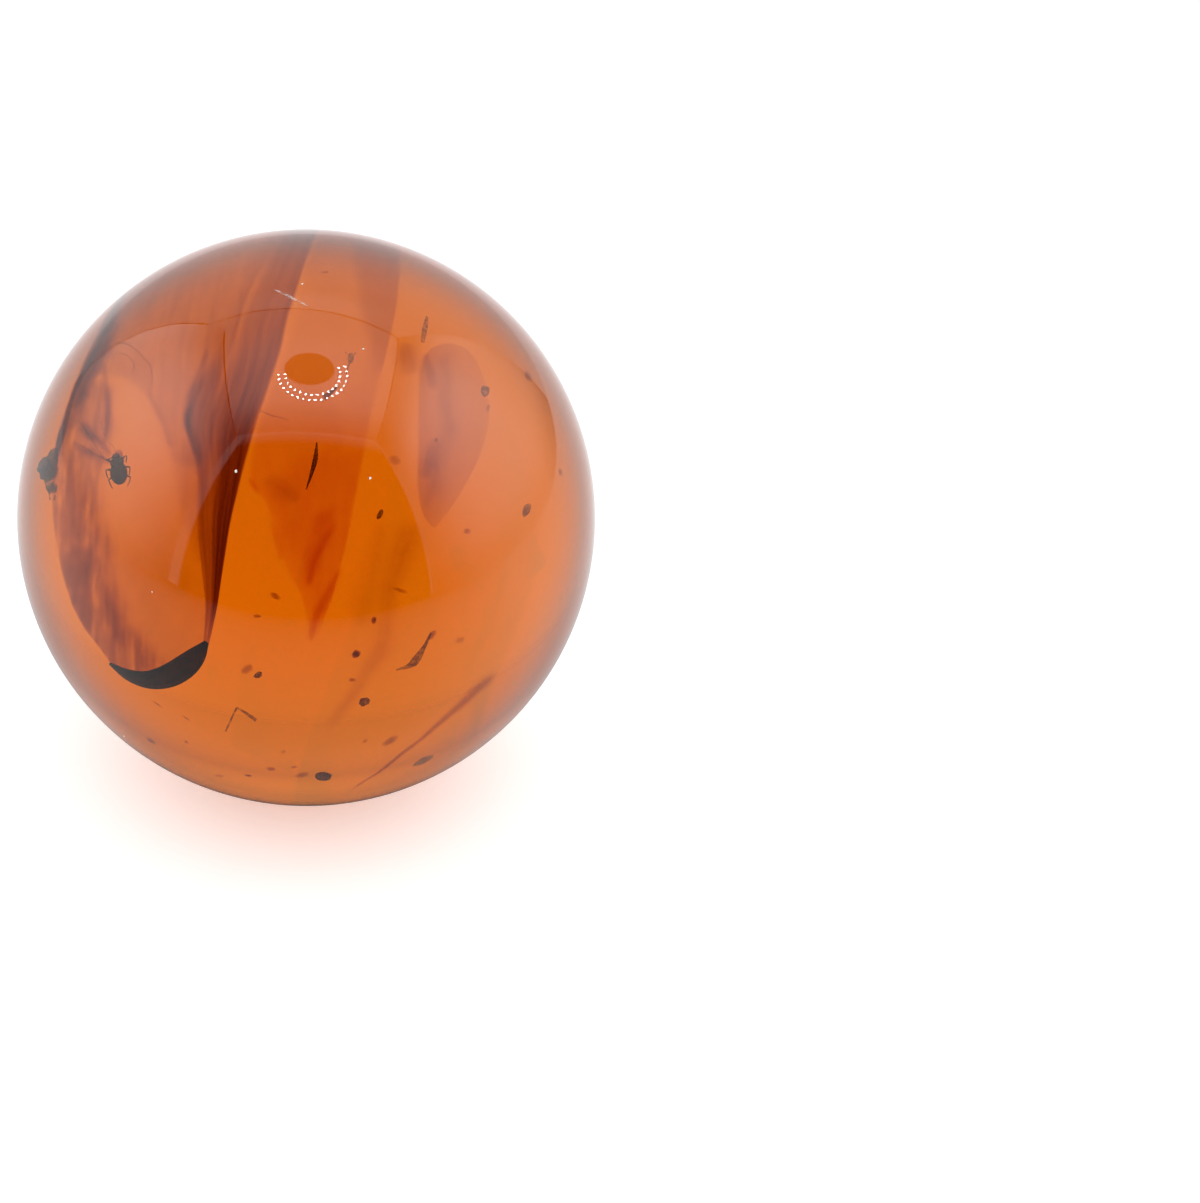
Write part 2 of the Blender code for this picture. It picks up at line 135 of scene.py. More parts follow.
# Stains in a sheet: their outline in the plane's frame, how far their edge fades, how dark they add, and
# how streaky
TONGUE_STAINS = {
    "veil": ([(-6.0, 9.0), (-0.2, 9.0), (-0.96, 3.73), (-1.47, 2.69), (-2.33, 0.8), (-2.8, 0.93),
        (-2.95, 1.16), (-3.1, 1.44), (-3.22, 1.81), (-3.4, 2.11), (-3.61, 2.31), (-3.86, 2.48),
        (-4.16, 2.63), (-4.43, 2.7), (-4.78, 3.31), (-5.2, 4.5)], 0.3, 0.36, 0.4),
    "ragged": ([(-5.2, 5.2), (-5.25, 3.87), (-5.2, 3.31), (-5.2, 2.89), (-5.2, 2.47), (-5.25, 2.07),
        (-5.35, 1.59), (-5.4, 1.25), (-5.45, 0.9), (-5.19, 0.88), (-5.14, 1.18), (-5.04, 1.4),
        (-4.91, 1.66), (-4.84, 2.05), (-4.72, 2.39), (-4.64, 2.68), (-4.55, 3.14), (-4.5, 3.68),
        (-4.65, 4.4), (-4.8, 5.2)], 0.2, 1.2, 0.45),
    "smoke": ([(-4.87, 2.22), (-4.52, 2.45), (-4.33, 2.31), (-4.25, 1.68), (-4.27, 1.09), (-4.41, 0.83),
        (-4.74, 0.88), (-5.04, 1.06), (-5.12, 1.35), (-4.95, 1.66)], 0.35, 0.7, 0.6),
    "margin": ([(-5.6, 1.15), (-4.32, 0.8), (-4.41, 0.42), (-4.42, 0.01), (-4.27, -0.39), (-4.11, -0.79),
        (-4.09, -1.21), (-3.98, -1.62), (-3.83, -2.02), (-3.6, -2.43), (-3.28, -2.83), (-2.87, -3.33),
        (-3.94, -4.2), (-5.6, -3.03), (-6.0, -0.9)], 0.5, 0.8, 0.75),
    "core": ([(-4.84, -0.95), (-4.51, -0.99), (-4.37, -1.33), (-4.52, -1.66), (-4.46, -2.07),
        (-4.49, -2.59), (-4.67, -2.56), (-4.88, -2.06), (-4.97, -1.59)], 0.3, 0.8, 0.6),
    "fringe": ([(-2.87, 0.76), (-2.63, 1.39), (-2.27, 1.01), (-2.13, -0.63), (-2.22, -1.05),
        (-2.58, -0.25)], 0.35, 0.34, 0.2),
}
ZONE_STAINS = {
    "strip": ([(0.6, 9.0), (2.5, 9.0), (2.5, 5.48), (1.95, 3.6), (1.35, 3.5), (0.95, 4.9), (0.7, 6.4)],
        0.35, 0.3, 0.15),
    "fold": ([(-0.93, 0.52), (-0.26, 1.34), (1.4, 1.62), (1.3, 0.03), (1.0, -1.54), (0.37, -2.91),
        (0.14, -2.24), (0.21, -1.57), (-0.15, -0.93), (-0.57, -0.09)], 0.45, 0.2, 0.35),
    "core": ([(0.25, 0.08), (0.64, 0.33), (0.6, -0.22), (0.38, -0.81), (0.25, -1.46), (0.1, -1.53),
        (0.0, -0.92), (0.11, -0.37)], 0.25, 0.32, 0.3),
}
LOBE_STAINS = {
    "line": ([(2.3, 3.5), (2.5, 3.5), (2.75, 2.0), (2.5, 0.7), (2.25, 0.5), (2.45, 2.0)], 0.3, 0.32, 0.5),
}

# Streaks: the resin, the points of the middle line from the top down, its depth, half its width in mm,
# and how dark it is. A depth that is one number holds at every point.
STREAKS = {
    "zone_rim": ("red", [(-1.33, 0.74), (-1.19, 0.58), (-1.07, 0.42)], (-0.17, -0.12, -0.08),
        (0.04, 0.06, 0.03), (0.3, 0.45, 0.2)),
    "zone_crease": ("red", [(-0.77, -0.07), (-0.66, -0.42), (-0.54, -0.74), (-0.46, -0.99)], (0.03, 0.07,
        0.11, 0.14), (0.04, 0.06, 0.06, 0.04), (0.15, 0.3, 0.3, 0.35)),
    "smudge": ("dark", [(-1.03, 0.64), (-0.82, 0.7), (-0.59, 0.59), (-0.36, 0.44), (-0.17, 0.33)], (-0.06,
        0.01, 0.09, 0.18, 0.24), (0.1, 0.15, 0.2, 0.16, 0.08), (0.15, 0.25, 0.3, 0.3, 0.1)),
    "fold_left": ("red", [(0.72, 0.01), (0.52, -0.34), (0.36, -0.64), (0.25, -0.95), (0.19, -1.24),
        (0.14, -1.53)], (0.55, 0.48, 0.43, 0.39, 0.36, 0.35), (0.05, 0.07, 0.08, 0.08, 0.07, 0.04), (0.2,
        0.4, 0.45, 0.45, 0.45, 0.3)),
    "fold_right": ("red", [(0.92, -0.98), (0.78, -1.27), (0.65, -1.59), (0.51, -1.89), (0.4, -2.18),
        (0.34, -2.5), (0.3, -2.8)], (0.62, 0.57, 0.53, 0.48, 0.44, 0.42, 0.4), (0.05, 0.07, 0.09, 0.1,
        0.09, 0.07, 0.04), (0.3, 0.5, 0.55, 0.65, 0.65, 0.5, 0.3)),
    "right_streak": ("dark", [(2.21, 0.25), (2.07, -0.07), (1.97, -0.45), (1.88, -0.81), (1.78, -1.18),
        (1.73, -1.55), (1.73, -1.97), (1.72, -2.39), (1.63, -2.72), (1.44, -3.05), (1.25, -3.45),
        (1.05, -3.81), (0.83, -4.17), (0.61, -4.55)], -1.0, (0.24, 0.26, 0.26, 0.24, 0.22, 0.2, 0.18, 0.2,
        0.2, 0.16, 0.14, 0.13, 0.12, 0.08), (0.24, 0.32, 0.32, 0.32, 0.3, 0.25, 0.22, 0.24, 0.26, 0.26,
        0.26, 0.24, 0.24, 0.1)),
    "middle_streak": ("dark", [(1.53, 0.17), (1.49, -0.34), (1.43, -0.88), (1.35, -1.41), (1.28, -1.89),
        (1.28, -2.32)], -0.5, (0.15, 0.18, 0.25, 0.3, 0.28, 0.15), (0.13, 0.15, 0.16, 0.18, 0.18, 0.08)),
    "low_streak": ("dark", [(5.15, -3.33), (4.85, -3.64), (4.56, -3.89), (4.28, -4.21), (3.96, -4.53),
        (3.65, -4.87), (3.31, -5.28), (2.95, -5.65), (2.7, -5.99), (2.37, -6.45), (2.02, -6.89),
        (1.7, -7.58)], 0.8, (0.1, 0.13, 0.13, 0.12, 0.09, 0.07, 0.05, 0.05, 0.05, 0.04, 0.04, 0.03), (0.3,
        0.7, 0.8, 0.8, 0.8, 0.8, 0.9, 1.0, 1.1, 0.9, 0.8, 0.4)),
    "ragged_streak": ("dark", [(-5.58, 5.45), (-5.57, 4.67), (-5.62, 4.07), (-5.69, 3.71), (-5.79, 3.4),
        (-5.9, 3.09), (-5.99, 2.73), (-6.04, 2.36), (-6.07, 1.92), (-6.14, 1.56), (-6.18, 1.25),
        (-6.2, 0.95), (-6.19, 0.56), (-6.21, -0.04)], 1.2, (0.15, 0.17, 0.15, 0.14, 0.12, 0.07, 0.06,
        0.06, 0.08, 0.1, 0.08, 0.06, 0.06, 0.04), (0.4, 1.1, 1.7, 2.4, 2.1, 2.8, 2.4, 2.2, 2.8, 3.4, 3.0,
        2.4, 1.6, 0.6)),
    "ragged_shade": ("dark", [(-5.09, 4.35), (-5.32, 3.71), (-5.48, 3.21), (-5.64, 2.84), (-5.66, 2.47),
        (-5.77, 2.11)], 1.0, (0.12, 0.16, 0.17, 0.16, 0.13, 0.08), (0.3, 0.8, 1.1, 1.2, 0.9, 0.4)),
    "upper_filament": ("dark", [(-5.67, 1.91), (-5.55, 1.78), (-5.32, 1.58), (-5.03, 1.44), (-4.79, 1.23),
        (-4.61, 1.05)], 1.5, (0.07, 0.11, 0.12, 0.08, 0.07, 0.07), (0.4, 1.0, 1.5, 1.0, 0.7, 0.7)),
    "lower_filament": ("dark", [(-5.88, 1.43), (-5.49, 1.21), (-5.11, 1.09), (-4.76, 0.97),
        (-4.61, 0.88)], 1.5, (0.06, 0.09, 0.09, 0.07, 0.06), (0.4, 0.7, 0.8, 0.7, 0.5)),
    "upright_filament": ("dark", [(-5.31, 3.48), (-5.14, 3.07), (-4.98, 2.59), (-4.85, 2.13),
        (-4.82, 1.74), (-4.81, 1.52), (-4.85, 1.3)], 1.4, (0.09, 0.09, 0.09, 0.09, 0.08, 0.07, 0.05),
        (0.4, 0.6, 0.7, 0.9, 0.8, 0.6, 0.3)),
    "lobe_rim": ("dark", [(-2.43, 3.74), (-2.52, 3.33), (-2.59, 3.01), (-2.67, 2.71), (-2.73, 2.48),
        (-2.78, 2.09), (-2.73, 1.79), (-2.61, 1.51), (-2.5, 1.24), (-2.39, 0.92)], 0.2, (0.05, 0.06, 0.07,
        0.08, 0.08, 0.08, 0.07, 0.08, 0.09, 0.08), (0.3, 0.5, 0.6, 0.8, 0.9, 1.0, 0.7, 0.5, 0.4, 0.2)),
    "faint_rim": ("dark", [(-3.83, 2.67), (-3.69, 2.39), (-3.51, 2.12), (-3.34, 1.85), (-3.21, 1.53),
        (-3.09, 1.27)], 1.0, (0.05, 0.07, 0.08, 0.07, 0.06, 0.05), (0.2, 0.35, 0.4, 0.35, 0.3, 0.2)),
    "smoke_patch": ("dark", [(1.7, 3.82), (1.68, 3.6), (1.74, 3.35), (1.86, 3.11)], -1.2, (0.12, 0.2,
        0.22, 0.14), (0.2, 0.4, 0.4, 0.2)),
    "lobe_smudge": ("dark", [(2.07, 3.62), (2.13, 3.35), (2.23, 3.08), (2.29, 2.8)], -1.3, (0.06, 0.1,
        0.12, 0.08), (0.3, 0.5, 0.5, 0.2)),
    "lobe_stripe": ("dark", [(2.44, 1.81), (2.34, 1.56), (2.28, 1.26), (2.22, 0.97)], -1.3, (0.1, 0.14,
        0.14, 0.08), (0.3, 0.5, 0.6, 0.3)),
    "left_wisp": ("dark", [(-5.12, 1.0), (-5.0, 0.5), (-4.92, 0.0), (-4.82, -0.5), (-4.72, -0.95)], (-1.2,
        -1.1, -1.1, -1.1, -1.1), (0.05, 0.08, 0.09, 0.1, 0.08), (0.1, 0.25, 0.3, 0.4, 0.3)),
    "second_wisp": ("dark", [(-4.62, 0.7), (-4.5, 0.2), (-4.48, -0.2), (-4.58, -0.6), (-4.72, -1.0)],
        (-0.95, -0.95, -0.95, -1.0, -1.0), (0.04, 0.07, 0.08, 0.09, 0.08), (0.1, 0.25, 0.3, 0.4, 0.3)),
    "low_wisp": ("dark", [(-4.25, -1.55), (-4.1, -1.95), (-3.95, -2.35), (-3.75, -2.75), (-3.55, -3.05)],
        -0.9, (0.05, 0.1, 0.12, 0.12, 0.06), (0.2, 0.35, 0.45, 0.4, 0.2)),
}

# Fibres of plant hair: points of their middle line, and their thickness in mm
FIBRES = {
    "arc": ([(-6.0, 3.13), (-5.84, 3.4), (-5.64, 3.64), (-5.45, 3.79), (-5.11, 3.98), (-4.83, 3.98),
        (-4.52, 3.84), (-4.21, 3.57), (-3.94, 3.31), (-3.83, 2.95), (-3.89, 2.65)], 0.045),
    "ring": ([(-5.01, 3.34), (-4.92, 3.67), (-4.6, 3.59), (-4.37, 3.31), (-4.48, 3.05), (-4.84, 3.11)],
        0.035),
    "cross_hair": ([(-1.23, 2.38), (-0.9, 2.29), (-0.47, 2.19)], 0.04),
}
FIBRE_DEPTH = 1.5

# Specks: place in the plane's frame, length, width and thickness in mm, and turn in degrees
SPECKS = [
    (-1.03, -3.47, 0.5, 0.34, 0.18, 0.05, 40), (1.37, -2.95, 0.5, 0.2, 0.18, 0.18, 0),
    (1.7, -2.15, 0.5, 0.16, 0.13, 0.12, 70), (1.34, -3.56, 0.5, 0.16, 0.11, 0.06, 0),
    (2.44, -5.14, 0.5, 0.42, 0.22, 0.05, 45), (-0.9, -6.46, 0.5, 0.2, 0.08, 0.12, 5),
    (-0.34, -6.11, 0.5, 0.24, 0.14, 0.06, 5), (-1.66, -6.7, 0.5, 0.3, 0.16, 0.03, 10),
    (0.42, -6.27, 0.5, 0.36, 0.2, 0.05, 20), (-3.4, -5.87, 0.5, 0.26, 0.2, 0.06, -30),
    (3.67, 0.0, 0.5, 0.18, 0.15, 0.05, 20), (1.87, 1.44, 0.5, 0.22, 0.28, 0.03, 60),
    (-2.41, -5.57, 0.5, 0.12, 0.08, 0.06, -20), (-0.89, -2.25, 0.5, 0.2, 0.07, 0.07, 0),
    (-0.53, -1.77, 0.5, 0.26, 0.14, 0.06, -35), (6.3, 1.68, 0.5, 0.16, 0.2, 0.06, 60),
    (-3.08, -4.59, 0.5, 0.3, 0.05, 0.05, -30), (-2.38, -4.85, 0.5, 0.22, 0.05, 0.05, -30),
    (3.08, -2.42, 0.5, 0.3, 0.14, 0.06, 60), (5.33, 4.06, 0.5, 0.32, 0.3, 0.05, 0),
    (4.03, 2.91, 0.5, 0.22, 0.12, 0.04, 60), (2.78, 1.99, 0.5, 0.1, 0.1, 0.08, 0),
    (2.23, -1.44, 0.5, 0.34, 0.1, 0.04, -15), (0.21, -5.99, 0.5, 0.14, 0.1, 0.05, 30),
    (3.78, -2.52, 0.5, 0.26, 0.16, 0.03, 20), (-0.08, -5.52, 0.5, 0.16, 0.08, 0.03, 40),
    (-0.03, 5.86, 0.5, 0.2, 0.08, 0.05, 10), (1.82, -5.13, 0.5, 0.14, 0.1, 0.04, 30),
    (-4.43, 1.02, 1.5, 0.4, 0.34, 0.1, 100),
]

# Dust on the polish: place in the plane's frame and size in mm. A shallow scratch runs through the points
# below it.
DUST = [(-1.65, 1.24, 0.09), (2.47, 1.37, 0.08), (-0.34, 7.33, 0.06), (1.84, 5.38, 0.06),
        (-5.15, -7.54, 0.05), (-4.04, -2.7, 0.04)]
SCRATCH = [(-1.16, 7.06), (-0.65, 6.86), (-0.07, 6.61)]
SCRATCH_WIDTH = 0.09

# Steps along and across a sheet, a streak and a fibre
TONGUE_STEPS = (280, 130)
SHEET_STEPS = (200, 64)
STREAK_STEPS = (120, 17)
FIBRE_STEPS = (60, 8)
SPECK_STEPS = (9, 12)
LEAST_THICKNESS = 5e-7

# How solid each sealed thing looks: 1 hides what is behind it, and thin matter lets some light through
SOLIDITY = {
    "insect_fragment": 0.38, "husk_flake": 0.38, "bent_hair": 0.42, "bark_shred": 0.48,
    "straw_bit": 0.34, "wedge_bit": 0.48, "splinter": 0.75, "crumb_1": 0.78,
    "crumb_2": 0.62, "crumb_3": 0.62, "crumb_4": 0.42, "crumb_5": 0.55,
    "crumb_6": 0.42, "bark_flake": 0.80, "debris_crescent": 0.97,
}

# Where a thing is thickest: spots in the plane's frame, each with its reach in mm and how solid it is.
# The rest of the thing is as solid as the number after the spots says.
THICK_SPOTS = {
    "insect": ([((-4.41, 0.72, 1.5), 0.40, 1.0)], 0.14),
    "bark_flake": ([((-5.68, 0.55, -1.0), 0.31, 1.0), ((-5.54, 0.88, -1.0), 0.24, 0.70),
                    ((-5.48, 0.18, -1.0), 0.16, 0.9), ((-5.42, -0.02, -1.0), 0.10, 0.6)], 0.0),
}
RIM_WAVE = 0.16

# Where the middle zone turns from brown to red, as shares of its length
ZONE_TURN = (0.28, 0.45)

# The polish: how its hairline marks are stretched and turned, how rough they are, and the slants between
# which painted shade at the rim holds back light, down to the share that passes
HAIRLINE_SCALE = (500.0, 90.0, 220.0)
HAIRLINE_TURN = (0.4, 0.9, 0.2)
HAIRLINE_ROUGHNESS = 0.006
RIM_SHADE_SLANT = (0.42, 0.76)
RIM_SHADE_PASSES = 0.2
MATTER_SHINE = 0.05

# The light tent, in mm from the ball's centre: a box with an open front, turned a little about the
# upright axis
TENT_TURN = math.radians(4)
TENT_LEFT, TENT_RIGHT = -133.0, 125.0
TENT_FRONT, TENT_BACK = -111.0, 144.0
TENT_LOW, TENT_TOP = -CENTRE_HEIGHT / MM, 248.0
TENT_STEP = 5.0
CEILING_STEP = 1.5
HOLE_PLACE, HOLE_HALF_SIZES = (-5.0, 9.0), (36.0, 31.0)
LAMP_RINGS = ((40.0, 17), (50.0, 20))
LAMP_SPAN = (-89.0, 114.0)
LAMP_SIZE, LAMP_GLOW, LAMP_DROP = 1.9, 45.0, 0.5

# The floor: its grey at distances from the ball in mm, which darkens away from the ball as painted shade
# for light falling off, its reach and its gap below the ball in metres, and the glow that the camera sees
FLOOR_SHADE_GREYS = ((10.0, 0.93), (25.0, 0.80), (45.0, 0.75), (150.0, 0.70))
FLOOR_REACH, FLOOR_GAP = 5.0, 0.01 * MM
TABLE_GLOW = 0.32

# The air seen through the ball, beside the light all round: its level low down and high up, and how
# steeply a ray points up where it starts and stops rising
AIR_LEVELS = (0.665, 2.4)
AIR_RISE = (0.34, 0.72)


def colour_setting(name, description, default):
    """A setting that holds a colour."""
    return bpy.props.FloatVectorProperty(name=name, description=description, default=default, size=3, min=0.0,
                                         max=1.0, subtype="COLOR")


def number_setting(name, description, default, least=0.0):
    """A setting that holds one number, not below the least."""
    return bpy.props.FloatProperty(name=name, description=description, default=default, min=least)


def place_setting(name, description, default):
    """A setting that holds a place from the ball's centre."""
    return bpy.props.FloatVectorProperty(name=name, description=description, default=default, size=3,
                                         subtype="TRANSLATION", unit="LENGTH")


class AmberBallSettings(bpy.types.PropertyGroup):
    """The clear ball"""

    body_colour: colour_setting("Body colour",
                                "Colour of light that amber lets through; the rest is taken up",
                        (0.95, 0.73, 0.0))
    density: number_setting("Colour density", "How strongly amber takes up light, per metre", 400.0)
    ior: number_setting("IOR", "Refractive index of amber", 1.54, 1.0)
    rings: bpy.props.IntProperty(name="Rings", description="Faces from top to foot", default=150, min=8)
    sectors: bpy.props.IntProperty(name="Sectors", description="Faces round the ball", default=300, min=8)
    dust_colour: colour_setting("Dust", "Colour of the grains of dust on the polish", (0.85, 0.83, 0.80))


class AmberFlowSettings(bpy.types.PropertyGroup):
    """The skins of darker resin inside the ball"""

    dark_colour: colour_setting("Dark flow",
                                "Colour of light that the dark flow lets through", (0.38, 0.0, 0.0))
    dark_density: number_setting("Dark density", "How strongly it takes up light, per metre", 8000.0)
    red_colour: colour_setting("Red flow",
                               "Colour of light that the redder flow lets through", (0.68, 0.0, 0.0))
    red_density: number_setting("Red density", "How strongly it takes up light, per metre", 3000.0)


class AmberInclusionSettings(bpy.types.PropertyGroup):
    """The things sealed in the ball"""

    chitin_colour: colour_setting("Insect", "Colour of the insect's shell", (0.040, 0.024, 0.016))
    debris_colour: colour_setting("Debris", "Colour of the plant debris", (0.150, 0.060, 0.025))
    bark_colour: colour_setting("Bark",
                                "Colour of the dark bark and of the crescent", (0.040, 0.028, 0.018))
    husk_colour: colour_setting("Husk", "Colour of the paler husk", (0.20, 0.11, 0.06))
    fibre_colour: colour_setting("Fibres",
                                 "Colour of light that thin fibres and specks let through", (0.30, 0.0, 0.0))
    fibre_density: number_setting("Fibre density", "How strongly they take up light, per metre", 16000.0)


class AmberStudioSettings(bpy.types.PropertyGroup):
    """Camera, floor and light tent"""

    camera_from_centre: place_setting("Camera", "Place of the camera", (0.00985, -0.11589, 0.07509))
    look_at_from_centre: place_setting("Look at",
                                       "Point at the middle of the picture", (0.00985, 0.01071, -0.0095))
    roll: bpy.props.FloatProperty(name="Roll", description="Turn of the camera about its own axis",
                                  default=math.radians(4.76), subtype="ANGLE", unit="ROTATION")
    lens: number_setting("Lens", "Focal length in mm on a 36 mm sensor", 125.2, 1.0)
    floor_colour: colour_setting("Floor", "Tint of the grey floor", (1.0, 1.0, 1.0))
    air_light: number_setting("Light", "Strength of the even light all round", 1.25)


def in_ball(points):
    """Places in the plane's frame, in mm, as places in the model, in metres."""
    points = np.asarray(points, dtype=float) * MM
    return CENTRE + points[..., :1] * ACROSS + points[..., 1:2] * UP_SLOPE + points[..., 2:3] * TO_FRONT


def on_polish(points):
    """Points (across, up the slope) on the ball's front: their depth is what a sphere leaves."""
    points = np.asarray(points, dtype=float)
    depth = np.sqrt((BALL_RADIUS / MM) ** 2 - (points ** 2).sum(axis=-1))
    return np.concatenate([points, depth[..., None]], axis=-1)


def smooth_path(points, count):
    """Count rows along a curve through the rows: between two, a cubic that leans as their neighbours do."""
    rows = np.asarray(points, dtype=float)
    rows = rows.reshape(len(rows), -1)
    padded = np.vstack([2 * rows[0] - rows[1], rows, 2 * rows[-1] - rows[-2]])
    place = np.linspace(0, len(rows) - 1, count)
    start = np.minimum(place.astype(int), len(rows) - 2)
    part = (place - start)[:, None]
    before, here, after, beyond = (padded[start + step] for step in range(4))
    square = 2 * before - 5 * here + 4 * after - beyond
    cube = 3 * here - 3 * after + beyond - before
    return 0.5 * (2 * here + (after - before) * part + square * part ** 2 + cube * part ** 3)


def ramp(value, low, high):
    """0 below low, 1 above high, and a smooth S between them."""
    share = np.clip((value - low) / (high - low), 0, 1)
    return share * share * (3 - 2 * share)


def bell(value, middle, width):
    """A hump of height 1 at the middle, which falls to a third one width away."""
    return np.exp(-((value - middle) / width) ** 2)


def waves(along, across, fineness, seed, layers=5):
    """Uneven streaks from -1 to 1: sines across that drift along, each finer and fainter than the last."""
    total = np.zeros(np.broadcast(along, across).shape)
    weight = 0.0
    for layer in range(layers):
        turn = seed * 2.399 + layer * 4.1
        drift = 0.9 * np.sin(along * (3.1 + 1.7 * layer) + turn)
        drift = drift + 0.4 * np.sin(along * (9.7 + 2.3 * layer) - turn)
        total += 0.75 ** layer * np.sin(across * fineness * 1.55 ** layer + drift * (1 + 0.4 * layer) + turn)
        weight += 0.75 ** layer
    return total / weight


def inside(x, y, outline, fade):
    """1 inside an outline and 0 outside, with a smooth step as wide as fade across it.

    A point's distance is that to the nearest of the outline's edges, and is counted as positive where a line
    from the point crosses the outline an odd number of times.
    """
    points = np.stack([np.ravel(x), np.ravel(y)], axis=-1)[:, None, :]
    start = np.asarray(outline, dtype=float)[None]
    edge = np.roll(start, -1, axis=1) - start
    share = np.clip(((points - start) * edge).sum(-1) / (edge ** 2).sum(-1), 0, 1)
    away = np.linalg.norm(points - start - share[..., None] * edge, axis=-1).min(axis=1)
    end = start + edge
    spans = (start[..., 1] > points[..., 1]) != (end[..., 1] > points[..., 1])
    rise = np.where(edge[..., 1] == 0, 1.0, edge[..., 1])
    crossing = start[..., 0] + edge[..., 0] * (points[..., 1] - start[..., 1]) / rise
    within = (spans & (points[..., 0] < crossing)).sum(axis=1) % 2 == 1
    return ramp(np.where(within, away, -away), -fade / 2, fade / 2).reshape(np.shape(x))


def stained(stains, x, y):
    """The darkness that a sheet's stains add up to, with ragged outlines and upright streaks."""
    ragged_x = x + 0.07 * waves(x, y, 5, 1)
    ragged_y = y + 0.07 * waves(y, x, 5, 2)
    total = np.zeros(x.shape)
    for number, (outline, fade, dark, streaky) in enumerate(stains.values()):
        broad = 0.5 * waves(y * 0.5, x, 8, 3 + number) + 0.3 * waves(x * 0.8, y, 5, 11 + number)
        streaks = broad + 0.4 * waves(y * 0.4, x, 22, 7 + number, 3)
        total += dark * inside(ragged_x, ragged_y, outline, fade) * (1 + 1.6 * streaky * streaks)
    return total


def mesh_object(name, points, faces, material):
    """A smooth-shaded object at the origin from an array of points and a list of arrays of faces."""
    mesh = bpy.data.meshes.new(name)
    points = np.asarray(points, dtype=float).reshape(-1, 3)
    mesh.from_pydata(points.tolist(), [], [face for group in faces for face in group.tolist()])
    mesh.shade_smooth()
    mesh.materials.append(material)
    mesh.validate()
    obj = bpy.data.objects.new(name, mesh)
    bpy.context.scene.collection.objects.link(obj)
    return obj


def sealed_piece(name, points, faces, material, slot, *replaced):
    """A piece of the ball: it rides on the root, takes the given material and may stand for CAD nodes. The
    slot is not used.
    """
    piece = mesh_object(name, points, faces, material)
    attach(piece, "root")
    if replaced:
        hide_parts(*replaced)
    return piece


def ring_faces(rings, sides, first=0):
    """Quads between rings of points that close round, and the strips that cap the first and the last ring."""
    ring, side = np.meshgrid(np.arange(rings - 1), np.arange(sides), indexing="ij")
    after = (side + 1) % sides
    walls = np.stack([ring * sides + side, ring * sides + after, (ring + 1) * sides + after,
                      (ring + 1) * sides + side], axis=-1).reshape(-1, 4)
    near = np.arange(sides // 2 - 1)
    strip = np.stack([near, sides - 1 - near, sides - 2 - near, near + 1], axis=-1)
    caps = np.vstack([strip, strip[:, ::-1] + (rings - 1) * sides])
    return walls + first, caps + first


def outward(points, faces):
    """The same faces, turned over if together they enclose less than nothing."""
    points = np.asarray(points).reshape(-1, 3)
    volume = 0.0
    for group in faces:
        corners = points[group]
        for turn in range(1, group.shape[1] - 1):
            volume += (corners[:, 0] * np.cross(corners[:, turn], corners[:, turn + 1])).sum()
    return faces if volume > 0 else [group[:, ::-1] for group in faces]


def joined(bodies):
    """Several closed bodies, each an array of rings of points, as one list of points and faces."""
    points, faces, first = [], [], 0
    for rings in bodies:
        own = outward(rings, list(ring_faces(*rings.shape[:2])))
        points.append(rings.reshape(-1, 3))
        faces += [group + first for group in own]
        first += rings.shape[0] * rings.shape[1]
    return np.vstack(points), faces


def skin(left, right, darkness, density, steps, depth=None, sag=0.0):
    """A closed skin between two edges, as rings of points.

    Its middle at (s, t) is left(s) (1 - t) + right(s) t. Its last part hangs down by sag s^6 4 t (1 - t). Its
    depth is that of its edges, or a function of how far across it is. Its thickness is darkness / density, so
    that it takes up just that much light, and its front and back are half of that away from the middle.
    """
    along, across = steps
    s = np.linspace(0, 1, along)[:, None]
    t = np.linspace(0, 1, across)[None, :]
    start, end = smooth_path(left, along)[:, None, :], smooth_path(right, along)[:, None, :]
    middle = start * (1 - t[..., None]) + end * t[..., None]
    middle[..., 1] -= sag * s ** 6 * 4 * t * (1 - t)
    if depth:
        middle = np.concatenate([middle, depth(middle[..., :1])], axis=-1)
    thickness = np.maximum(darkness(s, t, middle[..., 0], middle[..., 1]) / density, LEAST_THICKNESS)
    centre = in_ball(middle)
    half = thickness[..., None] / 2 * TO_FRONT
    return np.concatenate([centre + half, (centre - half)[:, ::-1]], axis=1)


def streak(path, depth, half_widths, dark, density):
    """A skin along a middle line: its edges stand two half widths to each side, and it fades towards them."""
    line = np.column_stack([path, np.broadcast_to(depth, len(path))])
    half_widths, dark = (np.broadcast_to(values, len(path)) for values in (half_widths, dark))
    ahead = np.gradient(line[:, :2], axis=0)
    sideways = np.column_stack([-ahead[:, 1], ahead[:, 0]]) / np.linalg.norm(ahead, axis=1)[:, None]
    reach = 2 * half_widths[:, None] * np.column_stack([sideways, np.zeros(len(line))])

    def darkness(s, t, x, y):
        tips = ramp(s, 0, 0.12) * (1 - ramp(s, 0.88, 1))
        fibres = 1 + 0.35 * waves(s * 3, t * 3, 9, len(line)) + 0.25 * waves(x, y * 2, 3, 5)
        edges = ramp(t, 0, 0.1) * ramp(1 - t, 0, 0.1)
        return smooth_path(dark, s.size) * bell(t, 0.5, 0.25) * edges * tips * fibres

    return skin(line + reach, line - reach, darkness, density, STREAK_STEPS)


